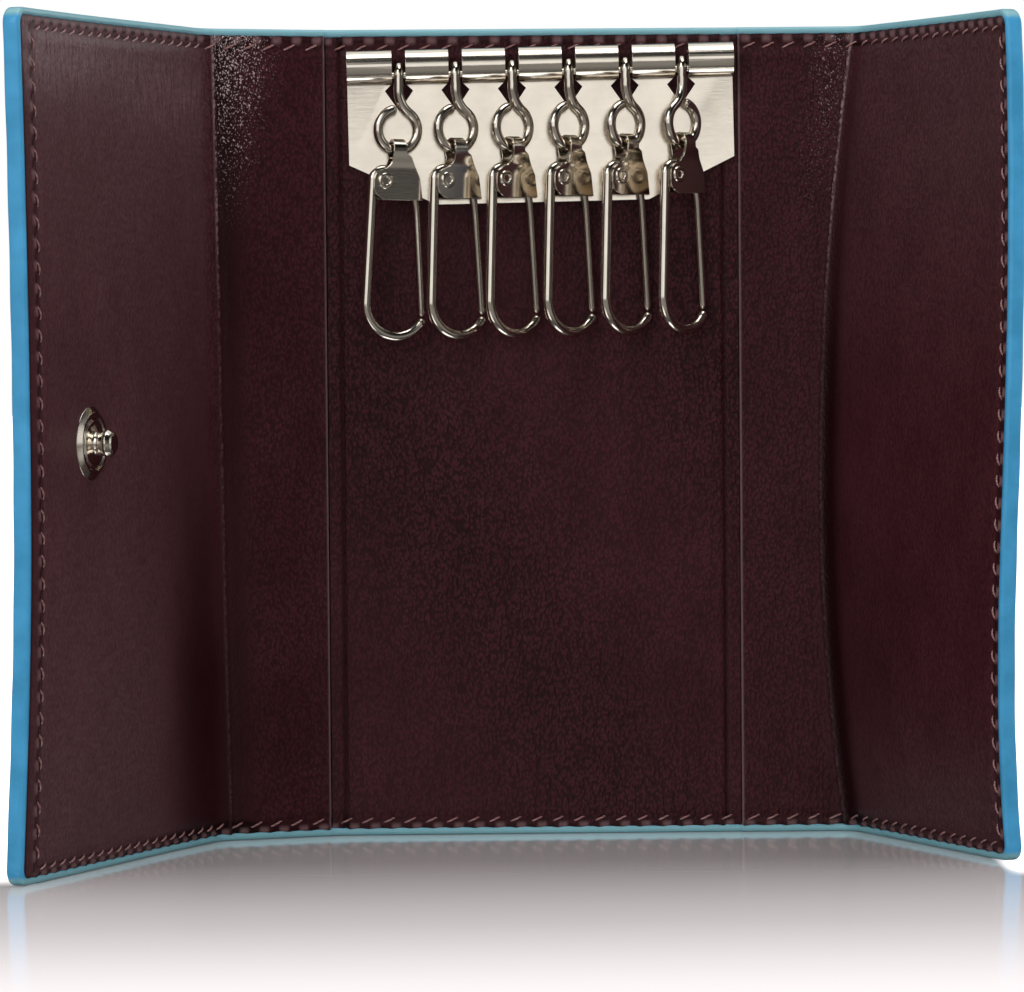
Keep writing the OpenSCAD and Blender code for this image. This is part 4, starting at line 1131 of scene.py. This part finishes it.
def snap_stud(mats):
    """The stud: a flange with a broad bevelled rim, a groove and a dish, a neck and a rounded head, turned about
    its axis. It stands on the flat flap of the frame, at its distance from the fold."""
    fold_x, fold_y, b = flat_flap(SIDES["left"])
    place = np.array([-(fold_x + STUD_FROM_FOLD * math.cos(b)), fold_y - STUD_FROM_FOLD * math.sin(b), SNAP_Z])
    turn = np.array([[-math.cos(b), 0, math.sin(b)], [-math.sin(b), 0, -math.cos(b)], [0, 1, 0]])
    profile = smooth_profile(STUD_PROFILE)
    poles = [[0, 0, profile[0, 1]], [0, 0, profile[-1, 1]]]
    verts = np.concatenate([turned(profile[1:-1], 72), poles])
    obj = make_piece("stud", placed(verts, turn, place), capped_faces(len(profile) - 2, 72), mats["snap"])
    fitted(obj, ["snap_stud"], "left_flap")


# ---------------------------------------------------------------- operators
class KeyCaseStep:
    """Common part of the operators that build pieces."""

    def execute(self, context):
        self.build(materials())
        return {"FINISHED"}


class KEYCASE_OT_panels(KeyCaseStep, bpy.types.Operator):
    """Outer leather, boards and linings of the back, the spines and the flaps"""
    bl_idname = "keycase.panels"
    bl_label = "Leather panels"

    def build(self, mats):
        for side in SIDES.values():
            settle_snap(side)
        back_pieces(mats)
        for side_name in SIDES:
            side_pieces(side_name, mats)


class KEYCASE_OT_edges(KeyCaseStep, bpy.types.Operator):
    """Painted edges round the case"""
    bl_idname = "keycase.edges"
    bl_label = "Painted edges"

    def build(self, mats):
        painted_edges(mats)


class KEYCASE_OT_stitching(KeyCaseStep, bpy.types.Operator):
    """Stitches along the case's border"""
    bl_idname = "keycase.stitching"
    bl_label = "Stitching"

    def build(self, mats):
        stitching(mats)


class KEYCASE_OT_plate(KeyCaseStep, bpy.types.Operator):
    """Key plate with its rolled barrel, and the pin that carries the hooks"""
    bl_idname = "keycase.plate"
    bl_label = "Key plate"

    def build(self, mats):
        for source, name in (("key_plate", "rolled_plate"), ("hook_pin", "plate_pin")):
            refined_copy(source, name, mats["plate"], "back", 0.07)


class KEYCASE_OT_hooks(KeyCaseStep, bpy.types.Operator):
    """Six hooks: swivel eye, clip body, rivet, hook wire and gate wire"""
    bl_idname = "keycase.hooks"
    bl_label = "Key hooks"

    def build(self, mats):
        for i in range(1, HOOK_COUNT + 1):
            for make in (swivel_eye, clip_body, clip_rivet, hook_wire, gate_wire):
                make(i, mats)


class KEYCASE_OT_snap(KeyCaseStep, bpy.types.Operator):
    """Snap fastener: stud, socket, their rivets and the spring ring"""
    bl_idname = "keycase.snap"
    bl_label = "Snap fastener"

    def build(self, mats):
        snap_stud(mats)
        for source, name, body, bevel in (
                ("stud_rivet", "stud_tube", "left_flap", 0),
                ("snap_socket", "socket", "right_flap", 0.05),
                ("socket_spring", "spring_ring", "right_flap", 0),
                ("socket_rivet", "socket_tube", "right_flap", 0)):
            refined_copy(source, name, mats["snap"], body, bevel)


class KEYCASE_OT_stage(bpy.types.Operator):
    """Camera, soft lights, white room and a pale glossy floor"""
    bl_idname = "keycase.stage"
    bl_label = "Camera, floor and lights"

    def execute(self, context):
        stage = settings()[2]
        context.scene.view_settings.view_transform = "Standard"
        self.camera(context.scene)
        self.floor(stage)
        self.world(context.scene, stage)
        self.lamps(stage)
        return {"FINISHED"}

    def camera(self, scene):
        """The photo's camera: it looks along +y, turned right by the yaw, down by the pitch and leaning."""
        camera = linked("Camera", bpy.data.cameras.new("Camera"))
        scene.camera = camera
        camera.data.sensor_width = SENSOR_WIDTH
        camera.data.lens = FOCAL_PIXELS / PHOTO_WIDTH * SENSOR_WIDTH
        camera.data.clip_start, camera.data.clip_end = 0.01, 20
        yaw, pitch, lean = (math.radians(degrees) for degrees in CAMERA_TURNS)
        look = Vector((math.sin(yaw) * math.cos(pitch), math.cos(yaw) * math.cos(pitch), -math.sin(pitch)))
        right = look.cross(Vector((0, 0, 1))).normalized()
        up = right.cross(look)
        x_axis = right * math.cos(lean) - up * math.sin(lean)
        y_axis = up * math.cos(lean) + right * math.sin(lean)
        camera.matrix_world = Matrix.Translation(Vector(CAMERA_PLACE) * MM) @ Matrix(
            (x_axis, y_axis, -look)).transposed().to_4x4()

    def floor(self, stage):
        """White sheet whose mirror fades with the distance from the case's back panel."""
        half, z = 3.0, -2e-5
        mesh = bpy.data.meshes.new("floor")
        mesh.from_pydata([(-half, -half, z), (half, -half, z), (half, half, z), (-half, half, z)], [],
                         [(0, 1, 2, 3)])
        linked("floor", mesh)
        material, g = new_material("Glossy white floor")
        x, y, _ = g.add("SeparateXYZ", {0: g.place()}).outputs
        fade = g.ramp(g.times(g.math("ABSOLUTE", y), 1 / 0.175, True), (
            (0.0, 1.0), (0.2, 0.96), (0.35, 0.79), (0.49, 0.63), (0.6, 0.52), (0.7, 0.38), (0.8, 0.23), (0.9, 0.1),
            (1.0, 0.0)))
        aside = g.minus(g.math("ABSOLUTE", g.plus(x, 0.0033)), 0.0600)
        clear = g.times(g.times(aside, 600.0, True), g.span(y, -0.060, -0.050))
        share = g.times(g.times(fade, stage.mirror), g.minus(1.0, clear))
        path = g.add("LightPath").outputs
        seen = g.larger(path["Is Camera Ray"], path["Is Transmission Ray"])
        front = g.span(y, -0.03, 0.0, 1.0, 0.0)
        # Painted reflection: in front of the case the floor takes a faint pink tint of the case's reflection.
        tint = g.mix(front, (1, 1, 1), (1, 0.945, 0.95))
        pale = g.mix(front, (0.85, 0.85, 0.85), (0.85, 0.8, 0.805))
        # Painted shade: in reflections the floor shows as a darker grey.
        pale = g.mix(path["Is Glossy Ray"], pale, (0.3, 0.29, 0.28))
        amount = g.plus(0.33, g.larger(clear, g.times(y, 20.0, True)))
        white = g.add("AddShader", {
            0: g.add("BsdfDiffuse", {"Color": pale}).outputs[0],
            1: g.add("Emission", {"Color": tint, "Strength": g.times(seen, amount)}).outputs[0]})
        gloss = g.add("BsdfGlossy", {"Color": (1, 1, 1, 1), "Roughness": 0.09})
        g.finish("OutputMaterial", g.add("MixShader", {0: share, 1: white.outputs[0], 2: gloss.outputs[0]}))
        mesh.materials.append(material)

    def world(self, scene, stage):
        """White for the camera, an even grey for soft light, and soft boxes with dark gaps for reflections."""
        world = bpy.data.worlds.new("Studio")
        scene.world = world
        world.use_nodes = True
        world.node_tree.nodes.clear()
        g = Nodes(world.node_tree)
        x, y, z = g.add("SeparateXYZ", {0: g.add("TexCoord").outputs["Generated"]}).outputs
        azimuth = g.math("ARCTAN2", x, g.times(y, -1.0))
        around = g.plus(g.times(azimuth, 0.5 / math.pi), 0.5)
        height = g.plus(g.times(g.math("ARCSINE", z), 1 / math.pi), 0.5)
        rounds = g.ramp(around, [(0.5 + degrees / 360, grey) for degrees, grey in (
            (-180, 0.05), (-135, 0.08), (-95, 0.35), (-60, 0.75), (-30, 1.0), (-12, 1.1), (-4, 1.15), (14, 1.15),
            (20, 0.15), (28, 0.06), (61, 0.10), (67, 0.9), (102, 0.9), (118, 0.95), (152, 0.95), (168, 0.1),
            (180, 0.05))])
        level = g.ramp(height, [(0.5 + degrees / 180, grey) for degrees, grey in (
            (-90, 0.4), (-30, 0.35), (-14, 0.7), (-4, 1.0), (10, 1.0), (20, 0.75), (27, 0.2), (33, 0.03),
            (68, 0.04), (76, 0.5), (82, 1.1), (90, 1.1))])
        high = g.math("GREATER_THAN", z, math.sin(math.radians(60)))
        behind = g.times(g.times(g.minus(z, 0.62), 6.0, True), g.times(y, 6.0, True))
        boxes = g.larger(g.times(g.larger(rounds, high), level), behind)
        path = g.add("LightPath").outputs
        slope = g.plus(g.times(x, 0.22 * stage.fill), stage.fill)
        soft = g.times(g.minus(1.0, path["Is Glossy Ray"]), slope)
        light = g.plus(g.times(boxes, path["Is Glossy Ray"]), soft)
        seen = g.larger(path["Is Camera Ray"], path["Is Transmission Ray"])
        strength = g.add("Mix", {0: seen, 2: light, 3: 1.0}).outputs[0]
        g.finish("OutputWorld", g.add("Background", {"Color": (1, 1, 1, 1), "Strength": strength}))

    def lamps(self, stage):
        """One large soft light in front on the left and one above."""
        for name, place, size, energy in (
                ("Key light", (-0.45, -0.75, 0.62), 0.55, stage.key_power),
                ("Top light", (0.10, -0.12, 0.85), 0.45, stage.top_power)):
            lamp = bpy.data.lights.new(name, "AREA")
            lamp.size, lamp.energy = size, energy
            obj = linked(name, lamp)
            obj.location = place
            obj.rotation_euler = (Vector((0, 0, 0.05)) - Vector(place)).to_track_quat("-Z", "Y").to_euler()


class KEYCASE_PT_sidebar(bpy.types.Panel):
    """Sizes, colours and buttons of the key case"""
    bl_idname = "KEYCASE_PT_sidebar"
    bl_label = "Key Case"
    bl_space_type = "VIEW_3D"
    bl_region_type = "UI"
    bl_category = "Key Case"

    def draw(self, context):
        layout = self.layout
        for group in settings():
            box = layout.box()
            for name in group.bl_rna.properties.keys():
                if name not in ("rna_type", "name"):
                    box.prop(group, name)
        for operator in OPERATORS:
            layout.operator(operator.bl_idname)


GROUPS = (
    ("key_case_leather", KeyCaseLeather), ("key_case_metal", KeyCaseMetal), ("key_case_stage", KeyCaseStage))
OPERATORS = (
    KEYCASE_OT_panels, KEYCASE_OT_edges, KEYCASE_OT_stitching, KEYCASE_OT_plate, KEYCASE_OT_hooks, KEYCASE_OT_snap,
    KEYCASE_OT_stage)


def register():
    for name, group in GROUPS:
        bpy.utils.register_class(group)
        setattr(bpy.types.Scene, name, bpy.props.PointerProperty(type=group))
    for cls in (*OPERATORS, KEYCASE_PT_sidebar):
        bpy.utils.register_class(cls)


def unregister():
    for cls in reversed((*OPERATORS, KEYCASE_PT_sidebar)):
        bpy.utils.unregister_class(cls)
    for name, group in GROUPS:
        delattr(bpy.types.Scene, name)
        bpy.utils.unregister_class(group)


def main():
    register()
    bpy.ops.keycase.panels()
    bpy.ops.keycase.edges()
    bpy.ops.keycase.stitching()
    bpy.ops.keycase.plate()
    bpy.ops.keycase.hooks()
    bpy.ops.keycase.snap()
    bpy.ops.keycase.stage()


if __name__ == "__main__":
    main()
